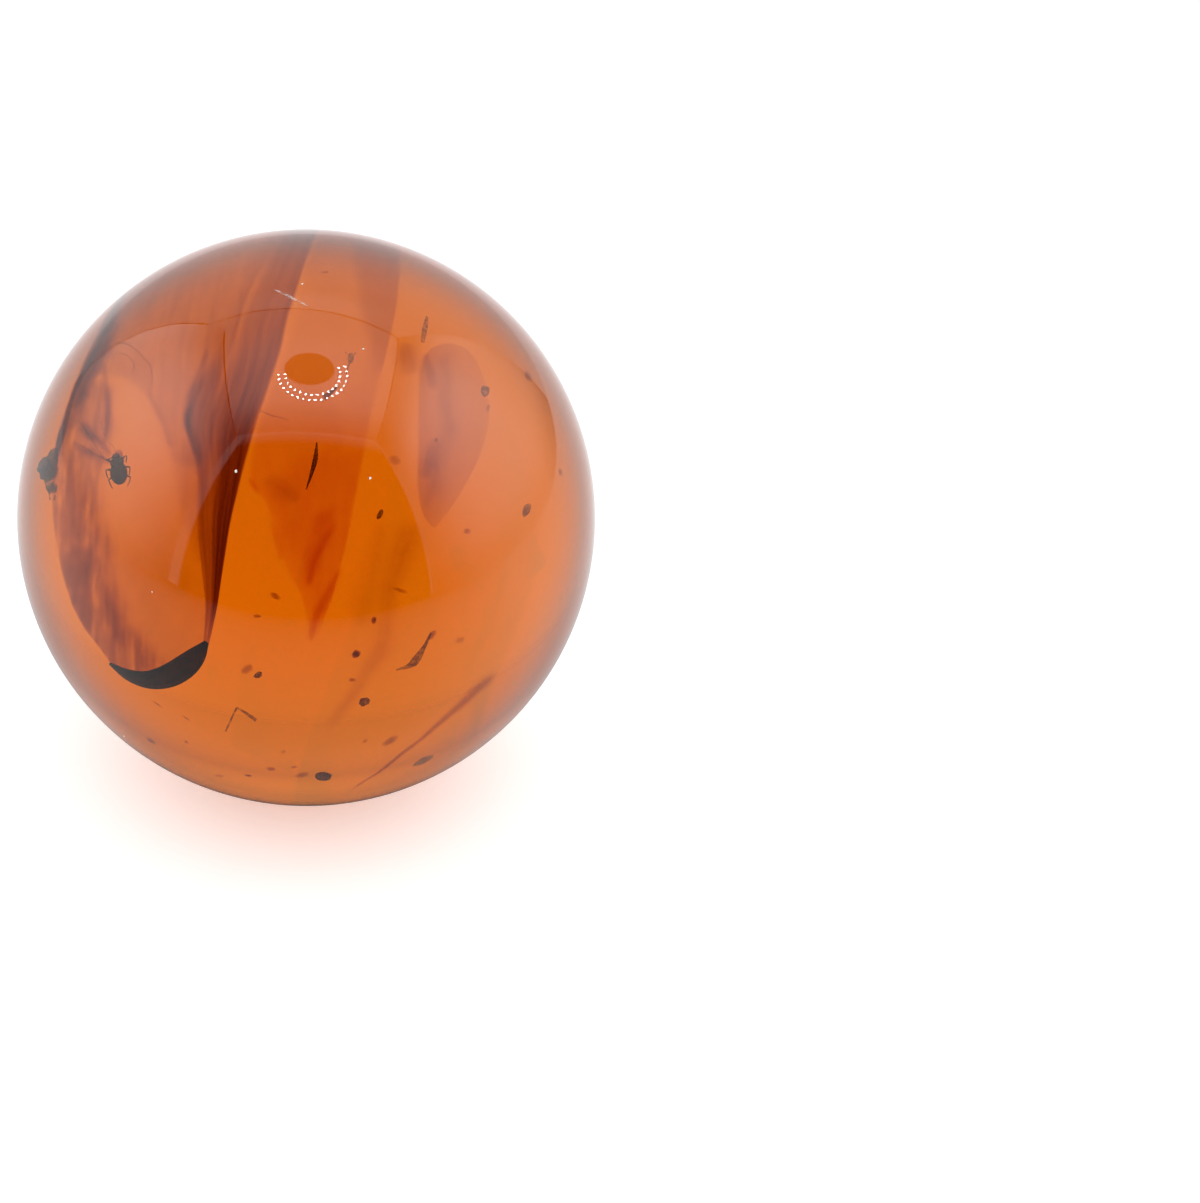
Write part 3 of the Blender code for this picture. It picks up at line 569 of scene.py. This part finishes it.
def fibre(path, thickness):
    """A round thread: a circle carried along a smooth path, thinner towards both ends."""
    along, round_ = FIBRE_STEPS
    line = smooth_path(path, along)
    x, y = line[:, 0], line[:, 1]
    line[:, :2] += 0.02 * np.column_stack([waves(y, y, 7, 1), waves(x, x, 7, 2)])
    ahead = np.gradient(line, axis=0)
    ahead /= np.linalg.norm(ahead, axis=1)[:, None]
    side = np.cross(ahead, [0.0, 0.0, 1.0])
    side /= np.linalg.norm(side, axis=1)[:, None]
    front = np.cross(side, ahead)
    turn = np.linspace(0, 2 * math.pi, round_, endpoint=False)
    share = np.linspace(0, 1, along)[:, None, None]
    radius = thickness / 2 * (0.25 + 0.75 * np.sqrt(np.sin(math.pi * np.clip(share, 0.02, 0.98))))
    circle = np.cos(turn)[None, :, None] * side[:, None, :] + np.sin(turn)[None, :, None] * front[:, None, :]
    return in_ball(line[:, None, :] + radius * circle)


def grain(place, half_sizes, turn=0.0, seed=0):
    """A small lump: an ellipsoid whose radius swells and shrinks by a fifth round it, turned in the plane."""
    rings, sides = SPECK_STEPS
    polar = np.linspace(0.08, math.pi - 0.08, rings)[:, None]
    round_ = np.linspace(0, 2 * math.pi, sides, endpoint=False)[None, :]
    lumps = 1 + 0.2 * np.sin(round_ * 2 + polar * 3 + seed) * np.sin(polar) + 0.1 * np.sin(round_ * 5 - seed)
    x = np.cos(round_) * np.sin(polar) * lumps * half_sizes[0]
    y = np.sin(round_) * np.sin(polar) * lumps * half_sizes[1]
    z = np.broadcast_to(np.cos(polar) * half_sizes[2], x.shape)
    cosine, sine = math.cos(turn), math.sin(turn)
    return in_ball(np.stack([x * cosine - y * sine, x * sine + y * cosine, z], axis=-1) + np.asarray(place))


def band_darkness(s, t, x, y):
    """Fades in from the left, is darkest near its sharp right edge, and is lined along its length."""
    profiles = (DARK_BAND[key] for key in ("dark", "left_share", "soft_left", "rim"))
    peak, share, soft, rim = (smooth_path(profile, s.size) for profile in profiles)
    rise = ramp(t, 0, soft) * (share + (1 - share) * ramp(t, 0.1, 0.85))
    lines = 1 + 0.30 * waves(s * 1.5, t, 11, 3) + 0.20 * waves(s * 4, t, 40, 5)
    left_rim = rim * bell(t, 0.07, 0.05)
    edges = (1 - ramp(t, 0.93, 1.0)) * (1 - ramp(s, 0.97, 1))
    return np.clip((peak * rise + left_rim) * lines, 0, None) * edges


def tongue_darkness(s, t, x, y):
    """Clear in the middle, with stains above and along its left edge."""
    clear = smooth_path(TONGUE["dark"], s.size) * (1 + 0.25 * waves(y * 0.6, x, 3, 2))
    edges = ramp(t, 0, 0.015) * (1 - ramp(t, 0.97, 1)) * ramp(s, 0, 0.15)
    return np.clip(clear + stained(TONGUE_STAINS, x, y), 0, None) * edges


def tongue_depth(x):
    """Bulges 0.8 mm to the front as a parabola across the tongue."""
    return -1.5 + 0.8 * np.clip(1 - ((x + 3.2) / 2.4) ** 2, 0, None)


def zone_darkness(s, t, x, y):
    """Almost even, with a sharp right edge, and darker towards the fold at its foot."""
    even = smooth_path(MIDDLE_ZONE["dark"], s.size) * (1 + 0.25 * waves(y * 0.6, x, 4, 6))
    edges = ramp(t, 0, 0.06) * (1 - ramp(t, 0.96, 1.0)) * (1 - ramp(s, 0.9, 1))
    return np.clip(even + stained(ZONE_STAINS, x, y), 0, None) * edges


def upper_zone_darkness(s, t, x, y):
    """The zone's brown upper part, which gives way to the red one."""
    return zone_darkness(s, t, x, y) * (1 - ramp(s, *ZONE_TURN))


def lower_zone_darkness(s, t, x, y):
    """The zone's redder lower part."""
    return zone_darkness(s, t, x, y) * ramp(s, *ZONE_TURN)


def zone_depth(x):
    """Leans to the front by 0.35 mm a millimetre towards the right."""
    return 0.3 + 0.35 * x


def upper_zone_depth(x):
    """Lies 0.2 mm in front of the lower part."""
    return 0.5 + 0.35 * x


def lobe_darkness(s, t, x, y):
    """Even, with a plain edge all round and a darker line down its left half."""
    tones = 1.05 - 0.3 * ramp(t, 0.4, 0.9) + 0.14 * waves(s * 2, t, 12, 8)
    even = smooth_path(RIGHT_LOBE["dark"], s.size) * tones
    return np.clip(even + stained(LOBE_STAINS, x, y), 0, None) * ramp(t, 0, 0.06) * ramp(1 - t, 0, 0.06)


def new_material(name):
    """A material with its nodes cleared down to the output, which is returned with the tree."""
    material = bpy.data.materials.new(name)
    material.use_nodes = True
    tree = material.node_tree
    tree.nodes.clear()
    return material, tree, tree.nodes.new("ShaderNodeOutputMaterial")


def add_node(tree, kind, sockets=None, **settings):
    """Add a shader node. Each socket named here takes a value, or a link where it is given a socket."""
    node = tree.nodes.new("ShaderNode" + kind)
    for name, value in settings.items():
        setattr(node, name, value)
    for name, value in (sockets or {}).items():
        if isinstance(value, bpy.types.NodeSocket):
            tree.links.new(value, node.inputs[name])
        else:
            node.inputs[name].default_value = value
    return node


def map_range(tree, value, from_range, to_range, interpolation="LINEAR"):
    """A socket's value carried from one range to another, and held at its ends."""
    sockets = dict(zip(("From Min", "From Max", "To Min", "To Max"), (*from_range, *to_range)), Value=value)
    return add_node(tree, "MapRange", sockets, interpolation_type=interpolation).outputs["Result"]


def absorber(tree, output, colour, density):
    """Let the inside of a body take up light."""
    volume = add_node(tree, "VolumeAbsorption", {"Color": (*colour, 1.0), "Density": density})
    tree.links.new(volume.outputs["Volume"], output.inputs["Volume"])


def amber_material(settings):
    """Clear resin: all its colour is absorption. The polish carries fine hairline marks.

    Painted shade at the rim: the base colour holds back light that enters the ball at a slant.
    """
    material, tree, output = new_material("amber")
    place = add_node(tree, "TexCoord")
    stretch = add_node(tree, "Mapping", {"Vector": place.outputs["Object"], "Scale": HAIRLINE_SCALE,
                                         "Rotation": HAIRLINE_TURN})
    marks = add_node(tree, "TexNoise", {"Vector": stretch.outputs["Vector"], "Scale": 1.0, "Detail": 6.0})
    slant = add_node(tree, "LayerWeight")
    shader = add_node(tree, "BsdfPrincipled", {
        "IOR": settings.ior,
        "Transmission Weight": 1.0,
        "Roughness": map_range(tree, marks.outputs["Fac"], (0.55, 0.85), (0.0, HAIRLINE_ROUGHNESS)),
        # Painted shade: the base colour darkens the rim where light enters at a slant
        "Base Color": map_range(tree, slant.outputs["Facing"], RIM_SHADE_SLANT, (1.0, RIM_SHADE_PASSES), "SMOOTHSTEP"),
    })
    tree.links.new(shader.outputs["BSDF"], output.inputs["Surface"])
    absorber(tree, output, settings.body_colour, settings.density)
    return material


def clear_material(name, colour, density):
    """Resin or a thin fibre that differs from amber in colour alone, so it bends no light at its skin."""
    material, tree, output = new_material(name)
    absorber(tree, output, colour, density)
    return material


def thick_spots(tree, place, noise, spots, rest):
    """Each spot's strength within its reach, and rest outside all of them. The noise bends their rims."""
    centred = add_node(tree, "VectorMath", {0: noise, 1: (0.5, 0.5, 0.5)}, operation="SUBTRACT")
    bent = add_node(tree, "VectorMath", {0: centred.outputs["Vector"], 1: (RIM_WAVE * MM,) * 3, 2: place},
                    operation="MULTIPLY_ADD")
    cover = None
    for spot, reach, strength in spots:
        middle = tuple(in_ball(spot))
        away = add_node(tree, "VectorMath", {0: bent.outputs["Vector"], 1: middle}, operation="DISTANCE")
        rim = (reach * 0.85 * MM, reach * 1.15 * MM)
        within = map_range(tree, away.outputs["Value"], rim, (strength, rest))
        if cover is not None:
            within = add_node(tree, "Math", {0: cover, 1: within}, operation="MAXIMUM").outputs["Value"]
        cover = within
    return cover


def matter_material(name, colour, roughness, grain_scale, contrast, bump, solidity, spots=None):
    """Dark solid matter: a colour broken up by noise on object coordinates, with a bump from the same noise.

    Solidity is how much it hides, also broken up by the noise and, where there are spots, by how thick it is.
    It barely shines, because the resin round it has almost its own index.
    """
    material, tree, output = new_material(name)
    place = add_node(tree, "TexCoord").outputs["Object"]
    noise = add_node(tree, "TexNoise", {"Vector": place, "Scale": grain_scale, "Detail": 5.0,
                                        "Roughness": 0.6})
    tones = add_node(tree, "ValToRGB", {"Fac": noise.outputs["Fac"]})
    for stop, position, share in zip(tones.color_ramp.elements, (0.3, 0.75), (1 - contrast, 1 + contrast)):
        stop.position = position
        stop.color = (*(part * share for part in colour), 1.0)
    relief = add_node(tree, "Bump", {"Height": noise.outputs["Fac"], "Strength": bump,
                                     "Distance": 0.02 * MM})
    least, most = solidity * solidity, min(1.0, solidity * 1.4)
    cover = map_range(tree, noise.outputs["Fac"], (0.38, 0.60), (least, most))
    if spots:
        thick = thick_spots(tree, place, noise.outputs["Color"], *spots)
        cover = add_node(tree, "Math", {0: cover, 1: thick}, operation="MULTIPLY").outputs["Value"]
    shader = add_node(tree, "BsdfPrincipled", {
        "Base Color": tones.outputs["Color"],
        "Roughness": roughness,
        "Specular IOR Level": MATTER_SHINE,
        "Normal": relief.outputs["Normal"],
        "Alpha": cover,
    })
    tree.links.new(shader.outputs["BSDF"], output.inputs["Surface"])
    return material


class AMBER_OT_ball(bpy.types.Operator):
    """Make the clear polished ball in place of its two halves"""

    bl_idname = "amber.ball"
    bl_label = "Amber ball"

    def execute(self, context):
        settings = context.scene.amber_ball
        # Point (ring, sector): a sphere from its top down to the rim of the foot, then the flat foot inwards
        lowest = math.pi - math.asin(FOOT_RADIUS / BALL_RADIUS)
        polar = np.linspace(0, lowest, settings.rings + 1)[1:]
        turn = np.linspace(0, 2 * math.pi, settings.sectors, endpoint=False)
        radius = np.concatenate([BALL_RADIUS * np.sin(polar), FOOT_RADIUS * np.array([0.66, 0.33])])
        height = np.concatenate([CENTRE_HEIGHT + BALL_RADIUS * np.cos(polar), [0.0, 0.0]])
        height[settings.rings - 1] = 0.0
        rings = np.stack([radius[:, None] * np.cos(turn), radius[:, None] * np.sin(turn),
                          np.broadcast_to(height[:, None], (len(radius), len(turn)))], axis=-1)
        walls, _ = ring_faces(len(radius), len(turn))
        top, foot = len(radius) * len(turn), len(radius) * len(turn) + 1
        side = np.arange(len(turn))
        after = (side + 1) % len(turn)
        last = (len(radius) - 1) * len(turn)
        crown = np.stack([side, after, np.full_like(side, top)], axis=-1)
        base = np.stack([last + after, last + side, np.full_like(side, foot)], axis=-1)
        points = np.vstack([rings.reshape(-1, 3), [[0, 0, CENTRE_HEIGHT + BALL_RADIUS], [0, 0, 0]]])
        faces = outward(points, [walls[:, ::-1], crown, base])
        material = amber_material(settings)
        ball = sealed_piece("amber_ball", points, faces, material, "amber", "amber_front", "amber_back")
        ball.data.set_sharp_from_angle(angle=math.radians(5))
        return {"FINISHED"}


class AMBER_OT_polish_marks(bpy.types.Operator):
    """Put a few grains of dust and a faint scratch on the polish"""

    bl_idname = "amber.polish_marks"
    bl_label = "Dust and scratch"

    def execute(self, context):
        pale = context.scene.amber_ball.dust_colour
        dust = matter_material("dust", pale, 0.9, 8000.0, 0.1, 0.2, 0.9)
        haze = matter_material("scratch_haze", pale, 0.7, 6000.0, 0.1, 0.2, 0.22)
        grains = [grain(on_polish((x, y)), (size / 2, size / 2, size / 3), seed=number)
                  for number, (x, y, size) in enumerate(DUST)]
        sealed_piece("dust_grains", *joined(grains), dust, "amber")
        sealed_piece("scratch", *joined([fibre(on_polish(SCRATCH), SCRATCH_WIDTH)]), haze, "amber")
        return {"FINISHED"}


class AMBER_OT_flows(bpy.types.Operator):
    """Make the bands, the tongue and the zones, where one flow of resin ran over another"""

    bl_idname = "amber.flows"
    bl_label = "Resin flows"

    def execute(self, context):
        settings = context.scene.amber_flows
        densities = {"dark": settings.dark_density, "red": settings.red_density}
        materials = {
            "dark": clear_material("dark_flow", settings.dark_colour, settings.dark_density),
            "red": clear_material("red_flow", settings.red_colour, settings.red_density),
        }
        dark = densities["dark"]
        band = skin(DARK_BAND["left"], DARK_BAND["right"], band_darkness, dark, SHEET_STEPS)
        tongue = skin(TONGUE["left"], TONGUE["right"], tongue_darkness, dark, TONGUE_STEPS, tongue_depth, 0.5)
        zone_edges = (MIDDLE_ZONE["left"], MIDDLE_ZONE["right"])
        upper = skin(*zone_edges, upper_zone_darkness, dark, SHEET_STEPS, upper_zone_depth)
        lower = skin(*zone_edges, lower_zone_darkness, densities["red"], SHEET_STEPS, zone_depth)
        lobe = skin(RIGHT_LOBE["left"], RIGHT_LOBE["right"], lobe_darkness, dark, SHEET_STEPS)
        sealed_piece("dark_band", *joined([band]), materials["dark"], "dark_amber", "old_flow")
        sealed_piece("tongue_skin", *joined([tongue]), materials["dark"], "dark_amber", "old_flow")
        sealed_piece("upper_zone", *joined([upper]), materials["dark"], "dark_amber")
        sealed_piece("lower_zone", *joined([lower]), materials["red"], "dark_amber")
        sealed_piece("right_lobe", *joined([lobe]), materials["dark"], "dark_amber")
        for name, (kind, *shape) in STREAKS.items():
            body = streak(*shape, densities[kind])
            sealed_piece(name, *joined([body]), materials[kind], "dark_amber")
        return {"FINISHED"}


class AMBER_OT_inclusions(bpy.types.Operator):
    """Give the insect and the debris their finishes, and add the fibres and specks too small for the CAD"""

    bl_idname = "amber.inclusions"
    bl_label = "Sealed things"

    def execute(self, context):
        settings = context.scene.amber_inclusions
        finishes = {
            "insect": (settings.chitin_colour, 0.38, 9000.0, 0.4, 0.3),
            "debris": (settings.debris_colour, 0.8, 9000.0, 0.6, 0.6),
            "bark": (settings.bark_colour, 0.85, 3500.0, 0.4, 0.8),
            "husk": (settings.husk_colour, 0.75, 4000.0, 0.5, 0.5),
        }
        for part in frame["record"]["subparts"]:
            node = part["node"]
            finish = finishes.get("bark" if node == "debris_crescent" else part["material_slot"])
            if finish:
                solidity = SOLIDITY.get(node, 1.0)
                mesh = frame["nodes"][node].data
                mesh.materials.clear()
                mesh.materials.append(matter_material(node, *finish, solidity, THICK_SPOTS.get(node)))
        thin = clear_material("thin_fibre", settings.fibre_colour, settings.fibre_density)
        fibres = [fibre([(x, y, FIBRE_DEPTH) for x, y in path], thickness)
                  for path, thickness in FIBRES.values()]
        sealed_piece("plant_fibres", *joined(fibres), thin, "debris")
        specks = [grain((x, y, z), (length / 2, width / 2, depth / 2), math.radians(turn), number)
                  for number, (x, y, z, length, width, depth, turn) in enumerate(SPECKS)]
        sealed_piece("specks", *joined(specks), thin, "debris")
        return {"FINISHED"}


def glow_material():
    """A glow as strong as the mesh's own glow attribute says."""
    material, tree, output = new_material("tent_glow")
    level = add_node(tree, "Attribute", attribute_name="glow")
    glow = add_node(tree, "Emission", {"Strength": level.outputs["Fac"]})
    tree.links.new(glow.outputs["Emission"], output.inputs["Surface"])
    return material


def tent_sheet(name, corners, brightness, material, step):
    """A sheet of the tent between four corners, in mm from the ball's centre before the tent is turned.

    A point at (u, v) lies between the corners in equal measure, and glows as brightness(x, y, z) says.
    """
    corners = np.asarray(corners, dtype=float)
    across = max(2, int(np.linalg.norm(corners[1] - corners[0]) / step))
    along = max(2, int(np.linalg.norm(corners[3] - corners[0]) / step))
    u = np.linspace(0, 1, across)[None, :, None]
    v = np.linspace(0, 1, along)[:, None, None]
    places = (corners[0] * (1 - u) + corners[1] * u) * (1 - v) + (corners[3] * (1 - u) + corners[2] * u) * v
    row, column = np.meshgrid(np.arange(along - 1), np.arange(across - 1), indexing="ij")
    first = row * across + column
    quads = np.stack([first, first + 1, first + across + 1, first + across], axis=-1).reshape(-1, 4)
    glow = np.broadcast_to(brightness(*np.moveaxis(places, -1, 0)), places.shape[:2])
    tent_object(name, places.reshape(-1, 3), [quads], glow.ravel(), material)


def tent_object(name, places, faces, glow, material):
    """A part of the tent, turned with it. Reflections alone see it, and it throws no light or shade."""
    cosine, sine = math.cos(TENT_TURN), math.sin(TENT_TURN)
    turned = places @ np.array([[cosine, sine, 0.0], [-sine, cosine, 0.0], [0.0, 0.0, 1.0]])
    obj = mesh_object(name, CENTRE + turned * MM, faces, material)
    level = obj.data.attributes.new("glow", "FLOAT", "POINT")
    level.data.foreach_set("value", np.asarray(glow, dtype=np.float32))
    obj.visible_camera = False
    obj.visible_diffuse = False
    obj.visible_transmission = False
    obj.visible_volume_scatter = False
    obj.visible_shadow = False


def left_glow(x, y, z):
    """Brightest beside the ball at lamp height, and dimmer up, down and towards the front."""
    upright = np.interp(z, (0, 25, 50, 75, 125, 150, 175, 200, 225),
                        (1.1, 1.75, 2.1, 2.5, 2.5, 2.2, 1.6, 1.33, 1.0))
    level = np.interp(y, (-100, -75, -50, -25, 0, 25, 50, 75, 100, 170),
                      (0.26, 0.46, 0.68, 0.90, 1.0, 1.0, 0.91, 0.75, 0.66, 0.66))
    return upright * level


def right_glow(x, y, z):
    """As on the left, a little brighter."""
    upright = np.interp(z, (0, 25, 50, 100, 125, 150, 175, 200, 225),
                        (1.0, 1.7, 2.0, 2.8, 2.8, 2.55, 1.77, 1.25, 0.9))
    level = np.interp(y, (-100, -75, -50, -25, 0, 25, 50, 75, 100, 125, 150),
                      (0.22, 0.42, 0.71, 0.89, 0.99, 0.99, 0.90, 0.70, 0.57, 0.52, 0.34))
    return upright * level


def back_glow(x, y, z):
    """Even, and brighter high in the middle."""
    return 0.95 + 0.45 * ramp(z, 150, 215) * bell(x, 0, 80)


def front_glow(x, y, z):
    """Dark where the tent is open, with a soft upper edge, and cloth beside and above the opening."""
    opening = 0.01 + 0.45 * ramp(z, 195, 235)
    cloth = (x < -116) | (x > 120) | (z > 236)
    return np.where(cloth, 0.7, opening)


def ceiling_glow(x, y, z):
    """Brightest in the middle, dimmer to the front and the right, with the dark round hole over the ball."""
    level = np.interp(y, (-111, -100, -75, -50, -25, 25, 50, 100, 144),
                      (0.4, 0.55, 0.95, 1.45, 1.6, 1.6, 1.55, 1.25, 1.15))
    level = level * np.interp(x, (-125, -60, 60, 100, 125), (0.8, 1.0, 1.0, 0.95, 0.85))
    away = np.hypot((x - HOLE_PLACE[0]) / HOLE_HALF_SIZES[0], (y - HOLE_PLACE[1]) / HOLE_HALF_SIZES[1])
    return 0.2 + (level - 0.2) * ramp(away, 0.97, 1.03)


def floor_glow(x, y, z):
    """The floor as the polish sees it: in the ball's shade close by, and darker towards the open front."""
    away = np.hypot(x, y)
    front = np.clip(-y, 0, None)
    sideways = (np.abs(x) + np.clip(y, 0, None)) / (np.abs(x) + np.abs(y) + 5)
    contact = 0.15 + 0.85 * ramp(away, 3, 11 + 16 * ramp(sideways, 0.5, 1.0))
    level = np.interp(front, (10, 100, 125), (1.05, 0.15, 0.0))
    return contact * (0.5 + 0.6 * ramp(sideways, 0.25, 0.85)) * level


# The tent's sheets: how each glows, how fine its mesh is in mm, and its four corners. The upright sheets
# stop short of the ceiling, and the gaps show as thin dark seams on the polish.
TENT_SHEETS = {
    "left_wall": (left_glow, TENT_STEP, [
        (TENT_LEFT, TENT_FRONT, TENT_LOW), (TENT_LEFT, 138.0, TENT_LOW), (TENT_LEFT, 135.0, 235.0),
        (TENT_LEFT, TENT_FRONT, 238.0)]),
    "right_wall": (right_glow, TENT_STEP, [
        (TENT_RIGHT, 143.1, TENT_LOW), (TENT_RIGHT, TENT_FRONT, TENT_LOW), (TENT_RIGHT, TENT_FRONT, 247.1),
        (TENT_RIGHT, 143.1, 247.1)]),
    "back_wall": (back_glow, TENT_STEP, [
        (-138.0, TENT_BACK, TENT_LOW), (TENT_RIGHT, TENT_BACK, TENT_LOW), (TENT_RIGHT, 128.0, 247.1),
        (-169.0, 177.0, 247.1)]),
    "front_opening": (front_glow, TENT_STEP, [
        (TENT_RIGHT, TENT_FRONT, TENT_LOW), (TENT_LEFT, TENT_FRONT, TENT_LOW),
        (TENT_LEFT, TENT_FRONT, TENT_TOP), (TENT_RIGHT, TENT_FRONT, TENT_TOP)]),
    "ceiling": (ceiling_glow, CEILING_STEP, [
        (-137.0, TENT_FRONT, TENT_TOP), (124.1, TENT_FRONT, TENT_TOP), (124.1, 126.0, TENT_TOP),
        (-137.0, 170.0, TENT_TOP)]),
    "ceiling_corner": (ceiling_glow, CEILING_STEP, [
        (-173.0, 129.0, TENT_TOP), (-137.0, 129.0, TENT_TOP), (-137.0, 170.0, TENT_TOP),
        (-173.0, 178.0, TENT_TOP)]),
    "floor_sheen": (floor_glow, CEILING_STEP, [
        (TENT_LEFT, TENT_FRONT, TENT_LOW), (TENT_RIGHT, TENT_FRONT, TENT_LOW),
        (TENT_RIGHT, TENT_BACK, TENT_LOW), (TENT_LEFT, TENT_BACK, TENT_LOW)]),
}


class AMBER_OT_stage(bpy.types.Operator):
    """Make the floor, the light tent that the polish reflects, and the camera"""

    bl_idname = "amber.stage"
    bl_label = "Floor, tent and camera"

    def execute(self, context):
        settings = context.scene.amber_studio
        self.make_floor(settings)
        self.make_tent()
        self.make_world(context, settings)
        self.make_camera(context, settings)
        return {"FINISHED"}

    def make_floor(self, settings):
        """Painted shade: the floor's grey darkens away from the ball. A glow that the camera alone sees makes
        it look white.
        """
        material, tree, output = new_material("studio_floor")
        place = add_node(tree, "TexCoord")
        away = add_node(tree, "VectorMath", {0: place.outputs["Object"]}, operation="LENGTH")
        # Painted shade: the floor's grey falls with distance from the ball, as its light falls off
        furthest = FLOOR_SHADE_GREYS[-1][0]
        share = add_node(tree, "Math", {0: away.outputs["Value"], 1: furthest * MM}, operation="DIVIDE")
        tones = add_node(tree, "ValToRGB", {"Fac": share.outputs["Value"]})
        while len(tones.color_ramp.elements) < len(FLOOR_SHADE_GREYS):
            tones.color_ramp.elements.new(0.5)
        for stop, (distance, grey) in zip(tones.color_ramp.elements, FLOOR_SHADE_GREYS):
            stop.position = distance / furthest
            stop.color = (*(grey * part for part in settings.floor_colour), 1.0)
        shader = add_node(tree, "BsdfDiffuse", {"Color": tones.outputs["Color"]})
        path = add_node(tree, "LightPath")
        level = add_node(tree, "Math", {0: path.outputs["Is Camera Ray"], 1: TABLE_GLOW},
                         operation="MULTIPLY")
        glow = add_node(tree, "Emission", {"Strength": level.outputs["Value"]})
        both = add_node(tree, "AddShader", {0: shader.outputs["BSDF"], 1: glow.outputs["Emission"]})
        tree.links.new(both.outputs["Shader"], output.inputs["Surface"])
        reach, low = FLOOR_REACH, -FLOOR_GAP
        corners = [(-reach, -reach, low), (reach, -reach, low), (reach, reach, low), (-reach, reach, low)]
        floor = mesh_object("floor", corners, [np.array([[0, 1, 2, 3]])], material)
        floor.visible_glossy = False

    def make_tent(self):
        material = glow_material()
        for name, (glow, step, corners) in TENT_SHEETS.items():
            tent_sheet(name, corners, glow, material, step)
        self.make_lamps(material)

    def make_lamps(self, material):
        """Rings of small six-sided lamps under the ceiling, on its front half."""
        turn = np.linspace(0, 2 * math.pi, 6, endpoint=False)
        hexagon = LAMP_SIZE * np.stack([np.cos(turn), np.sin(turn), np.zeros(6)], axis=-1)
        places = []
        for radius, count in LAMP_RINGS:
            azimuth = np.radians(np.linspace(*LAMP_SPAN, count))
            height = np.full(count, TENT_TOP - LAMP_DROP)
            centres = np.stack([radius * np.sin(azimuth), -radius * np.cos(azimuth), height], axis=-1)
            places.append((centres[:, None, :] + hexagon).reshape(-1, 3))
        places = np.vstack(places)
        faces = np.arange(len(places)).reshape(-1, 6)
        tent_object("ceiling_lamps", places, [faces], np.full(len(places), LAMP_GLOW), material)

    def make_world(self, context, settings):
        """Even white light. Reflections see the tent instead, and through the ball it is brighter high up."""
        world = bpy.data.worlds.new("studio_air")
        world.use_nodes = True
        tree = world.node_tree
        path = add_node(tree, "LightPath").outputs
        through_ball = path["Is Transmission Ray"]
        mirrored = add_node(tree, "Math", {0: path["Is Glossy Ray"], 1: through_ball}, operation="SUBTRACT",
                            use_clamp=True)
        first = add_node(tree, "Math", {0: through_ball, 1: path["Diffuse Depth"]}, operation="SUBTRACT",
                         use_clamp=True)
        direction = add_node(tree, "TexCoord")
        parts = add_node(tree, "SeparateXYZ", {"Vector": direction.outputs["Generated"]})
        levels = [settings.air_light * level for level in AIR_LEVELS]
        through = map_range(tree, parts.outputs["Z"], AIR_RISE, levels)
        seen = map_range(tree, first.outputs["Value"], (0.0, 1.0), (settings.air_light, through))
        level = map_range(tree, mirrored.outputs["Value"], (0.0, 1.0), (seen, 0.0))
        background = tree.nodes["Background"]
        background.inputs["Color"].default_value = (1.0, 1.0, 1.0, 1.0)
        tree.links.new(level, background.inputs["Strength"])
        context.scene.world = world
        context.scene.view_settings.view_transform = "Standard"
        context.scene.cycles.transparent_max_bounces = 64
        context.scene.cycles.max_bounces = 8
        context.scene.cycles.diffuse_bounces = 2

    def make_camera(self, context, settings):
        data = bpy.data.cameras.new("camera")
        data.lens = settings.lens
        data.sensor_width = 36.0
        data.clip_start = 0.005
        camera = bpy.data.objects.new("camera", data)
        context.scene.collection.objects.link(camera)
        place = Vector(CENTRE) + Vector(settings.camera_from_centre)
        target = Vector(CENTRE) + Vector(settings.look_at_from_centre)
        look = (target - place).to_track_quat("-Z", "Y").to_matrix().to_4x4()
        camera.matrix_world = Matrix.Translation(place) @ look @ Matrix.Rotation(settings.roll, 4, "Z")
        context.scene.camera = camera


class AMBER_PT_panel(bpy.types.Panel):
    """Lists the steps that make the ball"""

    bl_idname = "AMBER_PT_panel"
    bl_label = "Insect in amber"
    bl_space_type = "VIEW_3D"
    bl_region_type = "UI"
    bl_category = "Amber"

    def draw(self, context):
        for operator in OPERATORS:
            self.layout.operator(operator.bl_idname)


SETTINGS = {
    "amber_ball": AmberBallSettings,
    "amber_flows": AmberFlowSettings,
    "amber_inclusions": AmberInclusionSettings,
    "amber_studio": AmberStudioSettings,
}
OPERATORS = (AMBER_OT_ball, AMBER_OT_polish_marks, AMBER_OT_flows, AMBER_OT_inclusions, AMBER_OT_stage)


def register():
    for cls in (*SETTINGS.values(), *OPERATORS, AMBER_PT_panel):
        bpy.utils.register_class(cls)
    for name, group in SETTINGS.items():
        setattr(bpy.types.Scene, name, bpy.props.PointerProperty(type=group))


def unregister():
    for name in SETTINGS:
        delattr(bpy.types.Scene, name)
    for cls in reversed((*SETTINGS.values(), *OPERATORS, AMBER_PT_panel)):
        bpy.utils.unregister_class(cls)


def main():
    register()
    bpy.ops.amber.ball()
    bpy.ops.amber.polish_marks()
    bpy.ops.amber.flows()
    bpy.ops.amber.inclusions()
    bpy.ops.amber.stage()


if __name__ == "__main__":
    main()
